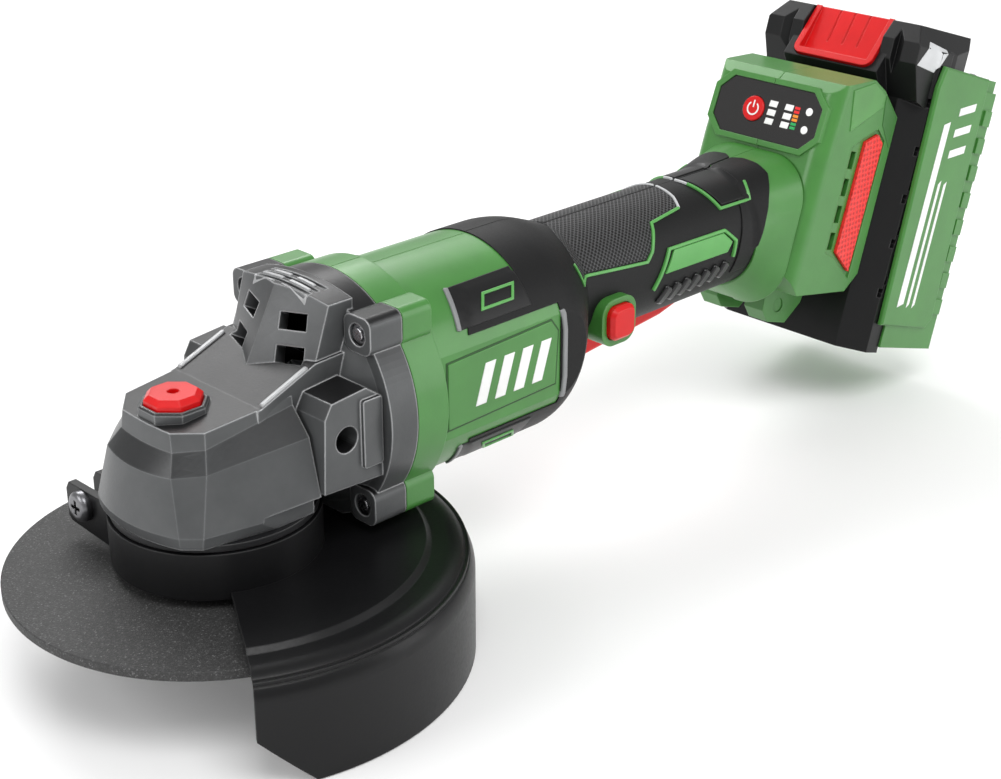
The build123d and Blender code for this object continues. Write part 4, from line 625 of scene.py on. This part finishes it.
# flat side panels of the barrel
panel_shape = [(63.0, 65.0), (106.6, 66.6), (109.6, 62.6), (108.6, 45.2), (63.0, 43.8)]
cap_front = [(111.6, 69.0), (112.6, 62.0), (112.6, 46.4), (111.6, 39.4)]
for side, tag in ((-1, "left"), (1, "right")):
    flat = sideways(side)
    patch(f"side_panel_{tag}", panel_shape, flat, 0.45, green, 2.0)
    ribbon(f"side_panel_line_{tag}", panel_shape, 1.3, flat, 0.2, green_dark, True, 1.4)
    # Grey strip along the cap's front edge is a painted highlight.
    ribbon(f"cap_front_highlight_{tag}", cap_front, 1.8, flat, 0.7, grey_bevel_highlight, False, 1.4, edge=0.35)
    for step in range(4):
        x = 74.0 + 8.0 * step
        bar = [(x, 48.2), (x + 4.4, 48.2), (x + 8.6, 61.2), (x + 4.2, 61.2)]
        patch(f"side_stripe_{tag}_{step}", bar, flat, 0.6, white, 2.0, edge=0.1)

# ---- display ------------------------------------------------------------------------------
tilt = radians(17.2)
foot_origin = Vector((268.6, 0.0, 13.6))
foot_back = Vector((cos(tilt), 0.0, -sin(tilt)))
foot_up = Vector((sin(tilt), 0.0, cos(tilt)))


def in_foot(depth, height, y=0.0):
    """Point along the leaning foot, in millimetres."""
    return foot_origin + foot_back * depth + foot_up * height + Vector((0.0, y, 0.0))


screen_low = in_foot(-41.5, 64.0)
screen_up = (in_foot(-39.5, 86.5) - screen_low).normalized()
screen_right = Vector((0.0, -1.0, 0.0))
screen_out = screen_right.cross(screen_up)
screen_middle = screen_low + screen_up * 11.4
screen = on_plane(screen_middle + screen_out * 0.8, screen_right, screen_up)
mark_red = moulded("mark_red", (0.80, 0.01, 0.012), 0.4)
mark_orange = moulded("mark_orange", (0.85, 0.26, 0.01), 0.4)
mark_green = moulded("mark_green", (0.01, 0.38, 0.09), 0.4)


def tile(name, u, v, width, height, material, lean=0.0):
    """Small printed rectangle on the display."""
    shape = [
        (u - width / 2 - lean, v - height / 2), (u + width / 2 - lean, v - height / 2),
        (u + width / 2 + lean, v + height / 2), (u - width / 2 + lean, v + height / 2),
    ]
    patch(name, shape, screen, 0.06, material, 1.2, sunk=-0.05, edge=0.0)


for column, u in ((0, 2.0), (1, 9.0)):
    for row, v in enumerate((-3.2, 0.0, 3.2)):
        tile(f"display_bar_{column}_{row}", u, v, 3.5, 2.2, white, lean=0.1)
levels = (
    (mark_green, -3.6), (mark_green, -2.2), (mark_orange, -0.7), (mark_orange, 0.7), (mark_red, 2.2),
    (mark_red, 3.6),
)
for row, (colour, v) in enumerate(levels):
    tile(f"display_level_{row}", 12.6, v, 2.3, 1.0, colour)
dot_radius = 1.45
for row, v in enumerate((-3.3, 3.3)):
    turns = [2 * pi * k / 20 for k in range(20)]
    dot = [(17.8 + dot_radius * cos(turn), v + dot_radius * sin(turn)) for turn in turns]
    patch(f"display_dot_{row}", dot, screen, 0.06, white, 1.2, sunk=-0.05, edge=0.0)
power_face = on_plane(screen_middle + screen_out * 1.4 - screen_right * 6.0, screen_right, screen_up)
power_arc = [(2.3 * sin(radians(a)), 2.3 * cos(radians(a))) for a in range(35, 326, 10)]
for name, path in (("power_ring", power_arc), ("power_bar", [(0.0, 0.4), (0.0, 3.0)])):
    ribbon(name, path, 0.6, power_face, 0.06, white, step=0.6, sunk=-0.1, edge=0.0, body="power_switch")

# ---- ribs and rims on the head, with a painted highlight ---------------------------------------
head_skin = skin_tree(["gear_housing"])
crown = from_above(head_skin)
for step, (x, half) in enumerate(((27.4, 11.0), (30.1, 9.5), (33.1, 8.0))):
    for side, tag in ((-1, "left"), (1, "right")):
        rib = [(x, side * 1.5), (x, side * (half + 1.0))]
        ribbon(f"roof_rib_{tag}_{step}", rib, 1.3, crown, 0.5, painted_cast_highlight, False, 1.4, sunk=-0.6, edge=0.3)
for side, tag in ((-1, "left"), (1, "right")):
    rim = [(4.0, side * 19.2), (20.6, side * 19.2)]
    ribbon(f"ramp_rim_{tag}", rim, 1.7, crown, 0.7, painted_cast_highlight, False, 1.4, sunk=-0.6, edge=0.35)

# ---- facets of the foot and the pack's end cap, with painted highlight and shade --------------
pack_skin = skin_tree(["battery_upper_case"])
foot_facet = [(-28.4, 75.0), (-11.2, 85.6), (-11.8, 90.2), (-20.0, 93.6), (-32.0, 89.4)]
back_facet = [(-10.2, 85.6), (-8.6, 79.2), (-1.2, 71.6), (-0.8, 83.0), (-10.6, 90.0)]
end_facet = [(-5.9, 102.8), (6.3, 101.5), (12.2, 110.5), (1.1, 112.0)]
for side, tag in ((-1, "left"), (1, "right")):
    foot = foot_flank(body_skin, side)
    # Painted highlight on the foot's lit facet, painted shade on its back facet; the end cap's facet is a
    # painted highlight.
    patch(f"foot_facet_{tag}", foot_facet, foot, 0.35, painted_highlight_green, 2.0, sunk=-0.4, edge=0.25)
    patch(f"foot_back_facet_{tag}", back_facet, foot, 0.3, painted_shade_green, 2.0, sunk=-0.4, edge=0.25)
    pack = foot_flank(pack_skin, side)
    patch(f"end_cap_facet_{tag}", end_facet, pack, 0.25, painted_highlight_silver, 1.6, sunk=-0.3, edge=0.15, body="battery")

# ---- battery side panels: plain stripes in place of the print --------------------------------
pack_half = 37.5
stripes = ((17.5, 4.0, 84.0), (24.0, 1.6, 62.0), (28.0, 1.6, 62.0))


def battery_print(name, shape, side):
    """Thin white print on one side of the battery, from an outline in (depth, height)."""
    corner = in_foot(0.0, 0.0, side * pack_half)
    if side < 0:
        panel = on_plane(corner, foot_back, foot_up)
    else:
        panel = on_plane(corner, foot_up, foot_back)
        shape = [(v, u) for u, v in shape]
    patch(name, shape, panel, 0.12, white, 3.0, sunk=-0.1, edge=0.0, body="battery")


for side, tag in ((-1, "left"), (1, "right")):
    for step, (depth, width, high) in enumerate(stripes):
        low = 14.0
        shape = [(depth, low), (depth + width, low + 1.5), (depth + width, high + 1.5), (depth, high)]
        battery_print(f"battery_stripe_{tag}_{step}", shape, side)
    for step in range(3):
        low = 88.0 - 8.0 * step
        shape = [(26.0, low), (36.5, low + 3.0), (36.5, low + 6.0), (26.0, low + 3.0)]
        battery_print(f"battery_chevron_{tag}_{step}", shape, side)

# ---- spring copies that ride on their bodies in place of the rigid ones ---------------------
def pressed_spring(node_name, body):
    """A copy of the spring that rides on a body, in place of the rigid one."""
    coil = bpy.data.objects.new(f"{node_name}_coil", nodes[node_name].data.copy())
    bpy.context.collection.objects.link(coil)
    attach(coil, body)
    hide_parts(node_name)
    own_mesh(coil)


pressed_spring("lock_spring", "body")
pressed_spring("trigger_spring", "body")
pressed_spring("lock_off_spring", "body")
pressed_spring("battery_latch_spring", "battery")

# ---- floor and finish ----------------------------------------------------------------------
floor_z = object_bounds()[0][2] - 0.0004
half = 6.0
floor_mesh = bpy.data.meshes.new("floor")
floor_mesh.from_pydata(
    [(-half, -half, floor_z), (half, -half, floor_z), (half, half, floor_z), (-half, half, floor_z)], [],
    [(0, 1, 2, 3)])
floor = bpy.data.objects.new("floor", floor_mesh)
bpy.context.collection.objects.link(floor)
paper = Shader("paper")
paper.link(paper.ramp(paper.noise(3.0), [(0.3, (0.86, 0.86, 0.86)), (0.7, (0.89, 0.89, 0.89))]),
           paper.surface.inputs["Base Color"])
paper.surface.inputs["Roughness"].default_value = 0.8
paper.surface.inputs["Emission Color"].default_value = (1.0, 1.0, 1.0, 1.0)
paper.surface.inputs["Emission Strength"].default_value = 0.08
floor_mesh.materials.append(paper.material)
